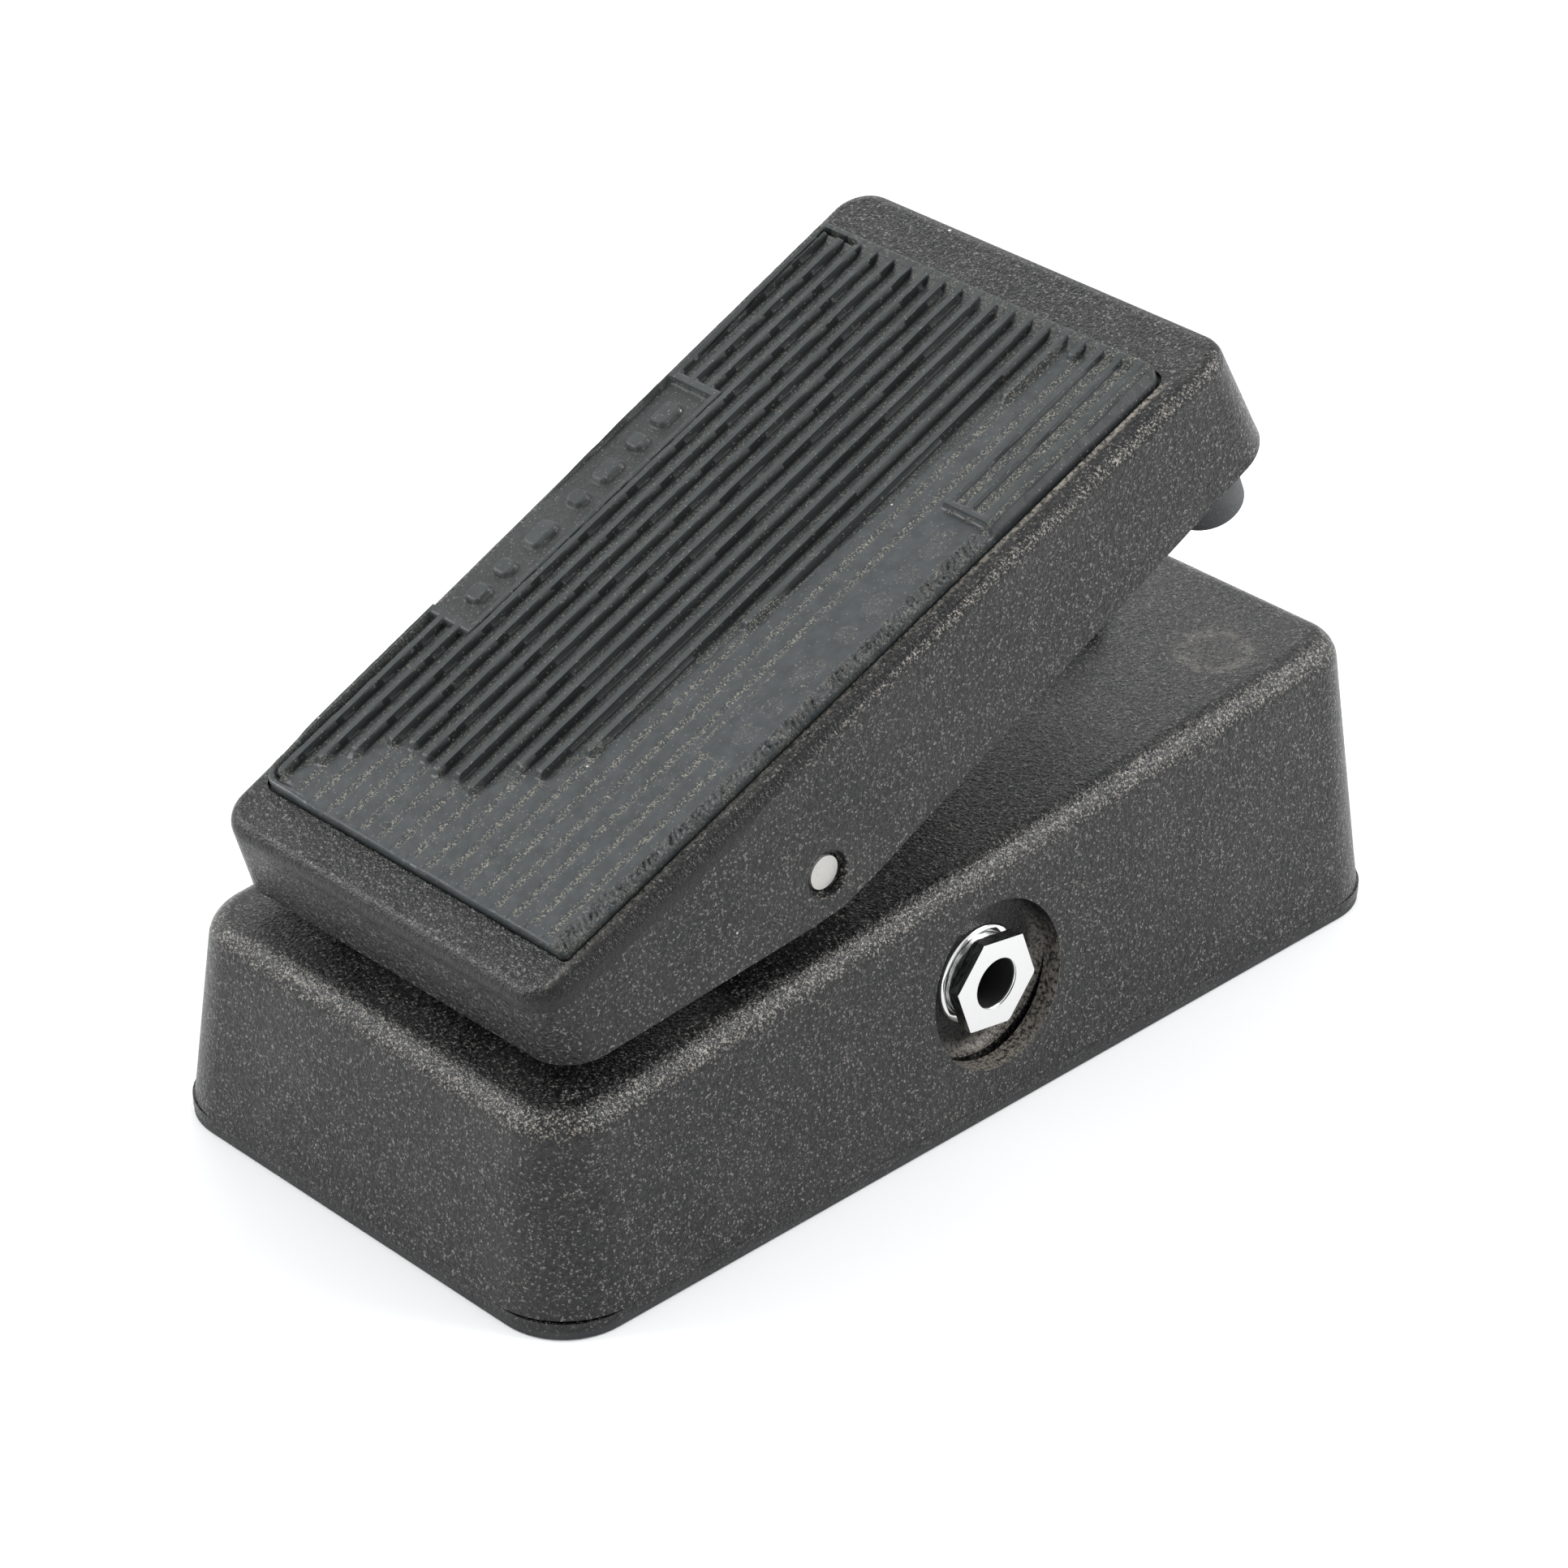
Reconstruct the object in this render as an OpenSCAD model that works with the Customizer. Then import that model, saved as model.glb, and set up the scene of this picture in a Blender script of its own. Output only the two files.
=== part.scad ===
// Small rocker pedal: a cast base, a hinged treadle, and the works inside.
// Millimetres. +Z is up, +Y points to the toe end, +X to the input jack.
// The origin is on the floor under the middle of the base.

/* [Base casting] */
// Length of the base along Y
base_len = 148; // [142:1:156]
// Width of the base along X
base_w = 74.6; // [72:0.2:80]
// Height of the roof plane at the heel end
heel_h = 28; // [27:0.5:30]
// Height of the roof plane at the toe end
toe_h = 40.2; // [39:0.5:43]
// Draft angle of the side walls
base_draft = 7.3; // [5:0.1:8]
// Radius of the upright corners at the floor end
base_corner_r = 11; // [10.5:0.1:12]
// Radius of the corners of the bottom plate and sole
plate_corner_r = 9.5; // [9:0.1:11]
// Radius of the rounded roof edge
base_edge_r = 3.9; // [3:0.1:4.2]
// Thickness of the side walls
base_wall = 2.8; // [2:0.1:3]
// Thickness of the roof
roof_t = 3; // [2.5:0.1:3.5]

/* [Underside] */
// Thickness of the steel bottom plate
plate_t = 1.2; // [1:0.1:1.5]
// Thickness of the rubber sole
sole_t = 1; // [0.8:0.1:1.2]

/* [Treadle casting] */
// Angle of the treadle above level with the heel down
tilt = 22.75; // [22.7:0.01:22.8]
// Length from the pivot to the heel end
heel_reach = 40.3; // [38:0.1:42]
// Length from the pivot to the toe end
toe_reach = 81; // [80:0.5:84]
// Width at the heel end
tread_heel_w = 59; // [58:0.1:60]
// Width at the toe end
tread_toe_w = 65.4; // [64:0.1:66]
// Height of the top face above the pivot
tread_top = 16.5; // [16:0.1:17]
// Draft angle of the skirt
tread_draft = 5.2; // [4.8:0.1:5.6]
// Radius of the upright corners
tread_corner_r = 4.9; // [4.5:0.1:5.5]
// Radius of the rounded top edge
tread_edge_r = 2; // [1.6:0.1:2.4]
// Thickness of the skirt
skirt_t = 2.5; // [2.2:0.1:2.6]
// Thickness of the top
deck_t = 3.2; // [3:0.1:3.5]

/* [Mat] */
// Thickness of the mat under its ribs
mat_t = 1.4; // [1.2:0.1:1.8]
// Height of the ribs
rib_h = 1; // [0.8:0.1:1.2]
// Spacing of the ribs
rib_pitch = 3; // [2.9:0.05:3.1]
// Width of one rib
rib_w = 1.1; // [0.9:0.1:2]
// Depth of the pocket that holds the mat
pocket_d = 0.6; // [0.5:0.1:0.8]

/* [Pivot] */
// Distance of the pivot behind the middle of the base
pivot_back = 25.4; // [25.3:0.05:25.5]
// Height of the pivot above the floor
pivot_h = 43.4; // [43.35:0.01:43.45]
// Diameter of the pivot shaft
shaft_d = 5; // [4.8:0.1:5]
// Clearance of the shaft in its bushes, on the radius
run_gap = 0.05; // [0.02:0.01:0.08]
// Distance of the inner face of each ear from the middle
ear_x = 20.4; // [20:0.1:20.8]
// Thickness of each ear
ear_t = 5.6; // [5:0.1:5.6]

/* [Jacks] */
// Height of the jack axis above the floor
jack_z = 17.5; // [17.4:0.1:17.6]
// Distance of the jack axis ahead of the middle
jack_y = 0.9; // [0.5:0.1:1.2]
// Radius of the socket bore
jack_bore_r = 3.4; // [3.2:0.05:3.5]
// Radius of the round recess around each jack
recess_r = 11; // [10.6:0.1:11.2]
// Distance of the recess floor from the middle of the base
recess_x = 31.2; // [31:0.1:31.4]

/* [Rack and pinion] */
// Number of teeth on the pinion
pinion_teeth = 12; // [12:1:12]
// Size of the teeth: pitch diameter over the number of teeth
tooth_module = 0.8; // [0.8:0.05:0.8]
// Radius from the pivot to the pin that lifts the rack
arm_r = 42; // [41.8:0.1:42.2]
// Angle of that arm above level with the heel down
arm_rest = 7.25; // [7.2:0.05:7.3]
// Width of the rack bar
rack_w = 4; // [3.8:0.1:4.2]

/* [Circuit board] */
// Width of the board
board_w = 56; // [54:0.5:57]
// Length of the board
board_l = 46; // [44:0.5:47]
// Thickness of the board
board_t = 1.6; // [1.5:0.1:1.6]
// Height of the underside of the board
board_z = 7.4; // [7.2:0.1:7.6]

/* [Hidden] */
eps = 0.01;
fine = 64;
foot_z = sole_t + plate_t;
roof_slope = (toe_h - heel_h) / base_len;
slope_deg = atan(roof_slope);
pivot_y = -pivot_back;
pin_y = pivot_y + arm_r * cos(arm_rest);
pin_z = pivot_h + arm_r * sin(arm_rest);
arm_tilt = arm_rest - tilt;
pitch_r = pinion_teeth * tooth_module / 2;
rack_y = pin_y;
rack_face = rack_y + rack_w / 2;
pinion_y = rack_face + tooth_module * 1.25 + pitch_r;
pinion_z = 20.5;
switch_y = 46.8;
board_y = -39.5;
bumper_x = 22.2;
bumper_u = 77.2;
heel_stop_x = 20;
heel_stop_u = -33;
pad_u = 71.8;
skirt_heel_w = 5;
skirt_low_w = -6.2;
skirt_toe_w = 0.1;

// Colours used for the preview
col_paint = [0.08, 0.08, 0.085];
col_rubber = [0.14, 0.15, 0.155];
col_steel = [0.7, 0.71, 0.73];
col_nylon = [0.85, 0.84, 0.8];
col_plastic = [0.06, 0.06, 0.07];

// Height of the roof plane at a given y
function roof_z(y) = heel_h + roof_slope * (y + base_len / 2);
// Radius of a base corner at height z, with wall offset g taken off
function corner_r(z, g) = base_corner_r - g - tan(base_draft) * (z - foot_z);
// Half width of the treadle top at distance u from the pivot
function tread_half(u) = tread_heel_w / 2
    + (tread_toe_w - tread_heel_w) / 2 * (u + heel_reach) / (heel_reach + toe_reach);
// Point (x, y) turned by angle a
function turned(p, a) = [p[0] * cos(a) - p[1] * sin(a), p[0] * sin(a) + p[1] * cos(a)];
// Involute of a circle of radius rb, at roll angle t in degrees
function involute(rb, t) = [rb * (cos(t) + t * PI / 180 * sin(t)),
                            rb * (sin(t) - t * PI / 180 * cos(t))];

// ---- Shared shapes ----

// Cylinder along X between two x positions
module xcyl(r, x0, x1, sides = fine) {
    translate([x0, 0, 0]) rotate([0, 90, 0]) cylinder(r = r, h = x1 - x0, $fn = sides);
}

// Ring along Z
module ring(ro, ri, h) {
    difference() {
        cylinder(r = ro, h = h, $fn = fine);
        translate([0, 0, -1]) cylinder(r = ri, h = h + 2, $fn = fine);
    }
}

// Box given by its low corner and its high corner
module block(a, b) {
    translate(a) cube([b[0] - a[0], b[1] - a[1], b[2] - a[2]]);
}

// Places its children in the treadle's own frame: x, reach, height
module on_treadle() {
    translate([0, pivot_y, pivot_h]) rotate([tilt, 0, 0]) children();
}

// Plate with rounded corners
module round_plate(w, l, r, h) {
    union() {
        translate([-w / 2 + r, -l / 2, 0]) cube([w - 2 * r, l, h]);
        translate([-w / 2, -l / 2 + r, 0]) cube([w, l - 2 * r, h]);
        for (sx = [-1, 1], sy = [-1, 1])
            translate([sx * (w / 2 - r), sy * (l / 2 - r), 0])
                cylinder(r = r, h = h, $fn = fine);
    }
}

// Disc with a round rim: major is the radius to the rim's centre
module round_puck(major, edge) {
    rotate_extrude($fn = 64)
        intersection() {
            translate([major, 0]) circle(r = edge, $fn = 40);
            translate([0, -edge]) square([major + edge, 2 * edge]);
        }
}

// ---- Base casting ----

// Drafted, round-edged form of the base; g is how far inside the outer skin
module base_form(g, drop, edge, low) {
    hull()
        for (sx = [-1, 1], sy = [-1, 1]) {
            cx = sx * (base_w / 2 - base_corner_r);
            cy = sy * (base_len / 2 - base_corner_r);
            top = roof_z(cy) - drop;
            ring_z = top - edge;
            major = max(corner_r(ring_z, g) - edge, 0.2);
            translate([cx, cy, low]) cylinder(r = corner_r(low, g), h = eps, $fn = 64);
            translate([cx, cy, ring_z - roof_slope * major]) round_puck(major, edge);
        }
}

// Ear that carries the pivot, from the roof up to the shaft
module pivot_ear() {
    linear_extrude(ear_t) {
        circle(r = 6.4, $fn = fine);
        polygon([[-6.4, 0], [6.4, 0], [9.4, -12.6], [-9.4, -12.6]]);
    }
}

// Pad of metal behind a wall recess, on the +X side
module wall_pad(y, z, r, x0) {
    translate([0, y, z]) xcyl(r, x0, recess_x + 1);
}

module base_housing() {
    color(col_paint)
        difference() {
            union() {
                difference() {
                    base_form(0, 0, base_edge_r, foot_z);
                    base_form(base_wall, roof_t, 1.4, foot_z - 1);
                }
                intersection() {
                    base_form(0.6, 0.6, base_edge_r - 0.6, foot_z);
                    union() {
                        for (s = [0, 1])
                            mirror([s, 0, 0]) wall_pad(jack_y, jack_z, recess_r + 2.2, 28.7);
                        mirror([1, 0, 0]) wall_pad(28, 16, 8.6, 29.2);
                        for (sx = [-1, 1], sy = [-1, 1])
                            translate([sx * 29.2, sy * 65.6, foot_z]) cylinder(r = 3.6, h = 40, $fn = fine);
                        for (sx = [-1, 1], sy = [-1, 1])
                            translate([sx * 24.5, board_y + sy * 19.5, board_z + board_t])
                                cylinder(r = 3, h = 30, $fn = fine);
                        for (dy = [-8, 10])
                            translate([-12.4, pinion_y + dy, 31]) cylinder(r = 3.4, h = 12, $fn = fine);
                    }
                }
                for (s = [0, 1])
                    mirror([s, 0, 0])
                        translate([ear_x, pivot_y, pivot_h]) rotate([90, 0, 90]) pivot_ear();
            }
            // Shaft bores, one in each ear
            translate([0, pivot_y, pivot_h]) xcyl(4, -28, 28);
            // Tension screw, down through the top of the left ear
            translate([-ear_x - ear_t / 2, pivot_y, pivot_h]) cylinder(r = 1.5, h = 10, $fn = 32);
            // Jack recesses and the holes in their floors
            for (s = [0, 1])
                mirror([s, 0, 0])
                    translate([0, jack_y, jack_z]) {
                        xcyl(recess_r, recess_x, 45);
                        xcyl(4.6, 20, 40);
                    }
            mirror([1, 0, 0]) translate([0, 28, 16]) {
                xcyl(6.6, recess_x + 0.6, 45);
                xcyl(4.05, 20, 40);
            }
            // Slot for the rack
            translate([0, pin_y - 0.2, 20]) round_plate(15, 12, 2, 30);
            // Hole for the footswitch
            translate([0, switch_y, 20]) cylinder(r = 6.05, h = 30, $fn = fine);
            // Pilot holes of the cover, board and bracket screws
            for (sx = [-1, 1], sy = [-1, 1])
                translate([sx * 29.2, sy * 65.6, foot_z - 1]) cylinder(r = 1.3, h = 12, $fn = 32);
            for (sx = [-1, 1], sy = [-1, 1])
                translate([sx * 24.5, board_y + sy * 19.5, board_z]) cylinder(r = 1.1, h = 9, $fn = 32);
            for (dy = [-8, 10])
                translate([-12.4, pinion_y + dy, 30]) cylinder(r = 1.1, h = 4.5, $fn = 32);
        }
}

// ---- Underside ----

module bottom_plate() {
    color(col_paint)
        difference() {
            translate([0, 0, sole_t]) round_plate(base_w - 0.4, base_len - 0.4, plate_corner_r, plate_t);
            for (sx = [-1, 1], sy = [-1, 1])
                translate([sx * 29.2, sy * 65.6, -1]) cylinder(r = 1.65, h = 9, $fn = 32);
        }
}

module sole_pad() {
    color(col_rubber)
        difference() {
            round_plate(base_w - 0.6, base_len - 0.6, plate_corner_r - 0.1, sole_t);
            for (sx = [-1, 1], sy = [-1, 1])
                translate([sx * 29.2, sy * 65.6, -1]) cylinder(r = 3.5, h = 9, $fn = fine);
        }
}

// Screw pointing up, with its head under z = 0 and a cross slot
module cross_screw(head_r, head_h, shank_r, len) {
    difference() {
        union() {
            translate([0, 0, -head_h]) cylinder(r = head_r, h = head_h, $fn = fine);
            cylinder(r = shank_r, h = len, $fn = 32);
        }
        for (a = [0, 90])
            rotate([0, 0, a]) translate([-head_r * 0.55, -0.3, -head_h - 1])
                cube([head_r * 1.1, 0.6, 1 + head_h * 0.6]);
    }
}

module plate_screws() {
    color(col_steel)
        for (sx = [-1, 1], sy = [-1, 1])
            translate([sx * 29.2, sy * 65.6, sole_t]) cross_screw(2.9, 0.85, 1.25, 10);
}

// ---- Pivot ----

module pivot_bushes() {
    color(col_nylon)
        for (s = [0, 1])
            mirror([s, 0, 0])
                translate([0, pivot_y, pivot_h])
                    difference() {
                        xcyl(3.97, ear_x - 0.4, ear_x + ear_t + 0.4);
                        xcyl(shaft_d / 2 + run_gap, ear_x - 2, ear_x + ear_t + 2);
                        translate([ear_x + ear_t / 2, 0, 3]) cylinder(r = 1.52, h = 4, $fn = 32);
                    }
}

module tension_screw() {
    color(col_steel)
        translate([-ear_x - ear_t / 2, pivot_y, pivot_h + 3.1])
            difference() {
                cylinder(r = 1.45, h = 3.2, $fn = 32);
                translate([0, 0, 1.8]) cylinder(r = 0.75, h = 3, $fn = 6);
            }
}

module pivot_shaft() {
    color(col_steel)
        translate([0, pivot_y, pivot_h])
            union() {
                xcyl(shaft_d / 2, -30.8, 30.8);
                for (s = [-1, 1])
                    translate([s * 31.1, 0, 0]) rotate([0, s * 90, 0])
                        translate([0, 0, -0.3]) cylinder(r1 = shaft_d / 2, r2 = shaft_d / 2 - 0.3, h = 0.6, $fn = fine);
            }
}

// ---- Jacks ----

// Socket seen from the +X side: threaded neck, body and blind bore
module jack() {
    translate([0, jack_y, jack_z])
        difference() {
            union() {
                xcyl(4.55, 27.5, 35);
                block([5.6, -7.6, -7], [28.65, 7.6, 7]);
                block([8, -5, -8.2], [24, 5, -7 + eps]);
            }
            xcyl(jack_bore_r, 6.8, 40);
            translate([34.6, 0, 0]) rotate([0, 90, 0])
                cylinder(r1 = jack_bore_r, r2 = jack_bore_r + 0.5, h = 0.5, $fn = fine);
            for (z = [5, -6])
                block([9, -8.6, z], [20, -6.6, z + 1]);
        }
}

module jack_washer() {
    translate([recess_x, jack_y, jack_z]) rotate([0, 90, 0]) ring(7.9, 4.6, 0.9);
}

// Hexagon nut with chamfered corners on its front face
module jack_nut() {
    translate([recess_x + 0.9, jack_y, jack_z]) rotate([0, 90, 0])
        difference() {
            intersection() {
                rotate([0, 0, 20]) cylinder(r = 6.93, h = 2.7, $fn = 6);
                union() {
                    cylinder(r = 7, h = 2.2, $fn = fine);
                    translate([0, 0, 2.2 - eps]) cylinder(r1 = 6.95, r2 = 6.3, h = 0.52, $fn = fine);
                }
            }
            translate([0, 0, -1]) cylinder(r = 4.6, h = 6, $fn = fine);
        }
}

module input_jack() { color(col_plastic) jack(); }
module output_jack() { color(col_plastic) mirror([1, 0, 0]) jack(); }
module input_jack_washer() { color(col_steel) jack_washer(); }
module output_jack_washer() { color(col_steel) mirror([1, 0, 0]) jack_washer(); }
module input_jack_nut() { color(col_steel) jack_nut(); }
module output_jack_nut() { color(col_steel) mirror([1, 0, 0]) jack_nut(); }

// Solder tags on the inner end of each jack
module jack_lugs() {
    color(col_steel)
        for (s = [0, 1], k = [-1, 0, 1])
            mirror([s, 0, 0])
                translate([16.5 + 4.5 * k, jack_y + 3.4 * k, jack_z - 8.2])
                    difference() {
                        block([-1.2, -0.2, -3.6], [1.2, 0.2, 0]);
                        translate([0, 1, -2.4]) rotate([90, 0, 0]) cylinder(r = 0.6, h = 2, $fn = 24);
                    }
}

// Round power socket in the left wall
module power_jack() {
    color(col_plastic)
        mirror([1, 0, 0])
            translate([0, 28, 16])
                difference() {
                    union() {
                        xcyl(4, 24, 33.6);
                        xcyl(5.8, recess_x + 0.6, 32.6);
                        block([20.6, -5, -5.4], [26.8, 5, 5.4]);
                    }
                    xcyl(2.9, 22.4, 36);
                    // Seat of the centre pin
                    xcyl(1.05, 20, 24, 32);
                    xcyl(1.8, 20, 21.1, 32);
                }
}

module power_jack_pin() {
    color(col_steel)
        mirror([1, 0, 0])
            translate([0, 28, 16]) {
                xcyl(1.05, 21, 32, 32);
                xcyl(1.8, 18.6, 21.1, 32);
            }
}

module power_jack_nut() {
    color(col_steel)
        mirror([1, 0, 0])
            translate([26.9, 28, 16]) rotate([0, 90, 0])
                difference() {
                    cylinder(r = 5.6, h = 2.2, $fn = 6);
                    translate([0, 0, -1]) cylinder(r = 4.03, h = 5, $fn = fine);
                }
}

// ---- Footswitch ----

// Places its children upright on the roof at the switch, at roof height
module at_switch(dz = 0) {
    translate([0, switch_y, roof_z(switch_y) + dz]) children();
}

module footswitch_body() {
    color(col_steel)
        at_switch()
            difference() {
                union() {
                    translate([0, 0, -9]) cylinder(r = 5.95, h = 13, $fn = fine);
                    block([-8.6, -6.4, -22], [8.6, 6.4, -9 + eps]);
                }
                translate([0, 0, -9 + 1]) cylinder(r = 4.1, h = 20, $fn = fine);
            }
}

module footswitch_nuts() {
    color(col_steel)
        at_switch() {
            difference() {
                translate([0, 0, 0.8]) cylinder(r = 8, h = 2, $fn = 6);
                cylinder(r = 5.98, h = 9, $fn = fine);
            }
            difference() {
                translate([0, 0, -5.8]) cylinder(r = 8, h = 2, $fn = 6);
                translate([0, 0, -9]) cylinder(r = 5.98, h = 6, $fn = fine);
            }
        }
}

module footswitch_lugs() {
    color(col_steel)
        at_switch(-22)
            for (i = [-1, 0, 1], j = [-1, 0, 1])
                translate([i * 5.2, j * 4, 0]) block([-0.9, -0.25, -3.4], [0.9, 0.25, 0]);
}

module switch_plunger() {
    color(col_steel)
        at_switch()
            union() {
                translate([0, 0, -5]) cylinder(r = 3.8, h = 12, $fn = fine);
                translate([0, 0, 7]) cylinder(r1 = 3.8, r2 = 3.2, h = 0.6, $fn = fine);
            }
}

// ---- Circuit board ----

module circuit_board() {
    color([0.1, 0.3, 0.16])
        difference() {
            translate([0, board_y, board_z]) round_plate(board_w, board_l, 2, board_t);
            for (sx = [-1, 1], sy = [-1, 1])
                translate([sx * 24.5, board_y + sy * 19.5, board_z - 1]) cylinder(r = 1.3, h = 4, $fn = 32);
        }
}

module board_screws() {
    color(col_steel)
        for (sx = [-1, 1], sy = [-1, 1])
            translate([sx * 24.5, board_y + sy * 19.5, board_z]) cross_screw(2.3, 1.4, 1.05, 7);
}

// Puts its children on the top face of the board
module on_board(x, y) {
    translate([x, board_y + y, board_z + board_t]) children();
}

module inductor() {
    color([0.55, 0.1, 0.08])
        on_board(-11, 8) {
            cylinder(r = 7, h = 4.4, $fn = fine);
            translate([0, 0, 4.2]) cylinder(r = 5.6, h = 1.6, $fn = fine);
            translate([0, 0, 5.6]) cylinder(r = 7, h = 4.4, $fn = fine);
        }
}

module film_capacitors() {
    color([0.65, 0.3, 0.08])
        for (p = [[5, 14], [15, 14], [5, 5], [15, 5], [15, -4]])
            on_board(p[0], p[1])
                translate([-3.7, -1.6, 0]) cube([7.4, 3.2, 7]);
}

module can_capacitors() {
    color([0.1, 0.12, 0.3])
        for (p = [[-20, -6], [-12, -6], [3, -13]])
            on_board(p[0], p[1])
                difference() {
                    cylinder(r = 2.6, h = 9, $fn = fine);
                    for (a = [0, 90])
                        rotate([0, 0, a]) translate([-1.8, -0.15, 8.7]) cube([3.6, 0.3, 1]);
                }
}

module transistors() {
    color([0.05, 0.05, 0.05])
        for (p = [[-2, -4], [-15, -15]])
            on_board(p[0], p[1])
                difference() {
                    translate([0, 0, 2]) cylinder(r = 2.4, h = 4.8, $fn = fine);
                    translate([-4, 1.2, 1]) cube([8, 4, 8]);
                }
    color(col_steel)
        for (p = [[-2, -4], [-15, -15]], k = [-1, 0, 1])
            on_board(p[0] + 1.27 * k, p[1]) cylinder(r = 0.25, h = 2.1, $fn = 16);
}

module resistors() {
    color([0.72, 0.6, 0.42])
        for (p = [[-6, -19], [4, -19], [14, -19], [14, -14], [-22, 12], [23, 4], [23, -4]])
            on_board(p[0], p[1])
                union() {
                    translate([0, 0, 1.3]) xcyl(0.9, -2.6, 2.6, 24);
                    for (s = [-1, 1]) {
                        translate([s * 2.3, 0, 1.3]) xcyl(1.1, -0.6, 0.6, 24);
                        translate([s * 3.1, 0, 0]) cylinder(r = 0.25, h = 1.5, $fn = 16);
                        translate([0, 0, 1.3]) xcyl(0.25, s * 3 - 0.35, s * 3 + 0.35, 16);
                    }
                }
}

// X positions of the wires, and of their holes in the header
power_wires = [-19.7];
jack_wires = [-16.5, -12, 12, 16.5];
pot_wires = [-9.15, -8.3, -7.45];
switch_wires = [-5.2, 5.2];

module wire_header() {
    color(col_nylon)
        on_board(0, 20.5)
            difference() {
                translate([-21.2, -2.1, 0]) cube([39.4, 4.2, 5]);
                for (x = concat(power_wires, jack_wires, [-8.3], switch_wires))
                    translate([x, 0, 4]) cylinder(r = x == -8.3 ? 1.4 : 0.6, h = 3, $fn = 24);
            }
}

// ---- Pot, bracket and guide ----

// Sheet bracket hung from two posts under the roof
module pot_bracket() {
    color(col_steel)
        difference() {
            union() {
                block([-7.5, pinion_y - 12, 9], [-6, pinion_y + 13, 31]);
                block([-16, pinion_y - 12, 29.5], [-6, pinion_y + 13, 31]);
                block([-7.5, rack_y - 6.8, 15.2], [-6, pinion_y - 11, 28]);
            }
            translate([0, pinion_y, pinion_z]) xcyl(3.55, -9, -5);
            for (dy = [-8, 10])
                translate([-12.4, pinion_y + dy, 29]) cylinder(r = 1.3, h = 3, $fn = 32);
            for (z = [18.4, 25.6])
                translate([0, rack_y - 4.4, z]) xcyl(1.15, -9, -5, 32);
        }
}

module bracket_screws() {
    color(col_steel)
        for (dy = [-8, 10])
            translate([-12.4, pinion_y + dy, 29.5]) cross_screw(2.2, 1.4, 1.05, 5);
}

module pot_body() {
    color([0.62, 0.62, 0.6])
        translate([0, pinion_y, pinion_z])
            difference() {
                union() {
                    xcyl(8, -16.4, -7.5);
                    xcyl(3.5, -7.6, -2.9);
                }
                xcyl(3.08, -14, 0);
                // Seats of the solder tags
                for (k = [-1, 0, 1])
                    translate([0, 4.2 * k, 0]) block([-8.6, -0.9, -13], [-8, 0.9, -6]);
            }
}

module pot_nut() {
    color(col_steel)
        translate([-6, pinion_y, pinion_z]) rotate([0, 90, 0])
            difference() {
                rotate([0, 0, 15]) cylinder(r = 5.6, h = 2, $fn = 6);
                translate([0, 0, -1]) cylinder(r = 3.52, h = 4, $fn = fine);
            }
}

module pot_lugs() {
    color(col_steel)
        for (k = [-1, 0, 1])
            translate([0, pinion_y + 4.2 * k, pinion_z])
                block([-8.6, -0.9, -13], [-8, 0.9, -6]);
}

module pot_shaft() {
    color(col_steel)
        translate([0, pinion_y, pinion_z]) xcyl(3, -13.9, 3.6);
}

// One tooth space flank list, turned into a full gear outline
function flank_points(rb, ra, n) =
    [for (i = [0 : n]) involute(rb, i / n * sqrt(pow(ra / rb, 2) - 1) * 180 / PI)];

// Involute gear outline, a tooth centred on angle 0
module gear_outline(teeth, m, slack) {
    rp = teeth * m / 2;
    rb = rp * cos(20);
    ra = rp + m * 0.9;
    rf = rp - m * 1.25;
    inv = tan(20) * 180 / PI - 20;
    half = 90 / teeth - slack / rp * 90 / PI + inv;
    flank = flank_points(rb, ra, 6);
    circle(r = rf + 0.02, $fn = 48);
    for (i = [0 : teeth - 1])
        rotate([0, 0, i * 360 / teeth])
            polygon(concat(
                [[rf * 0.8, -rf * 0.18]],
                [for (p = flank) turned(p, -half)],
                [for (k = [6 : -1 : 0]) turned([flank[k][0], -flank[k][1]], half)],
                [[rf * 0.8, rf * 0.18]]));
}

module pinion() {
    color(col_nylon)
        translate([-2.5, pinion_y, pinion_z])
            rotate([90, 0, 90])
                difference() {
                    union() {
                        linear_extrude(5) rotate([0, 0, 180]) gear_outline(pinion_teeth, tooth_module, 0.12);
                        translate([0, 0, 4.9]) cylinder(r = 3.9, h = 1.1, $fn = fine);
                    }
                    translate([0, 0, -1]) cylinder(r = 3.02, h = 9, $fn = fine);
                }
}

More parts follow.
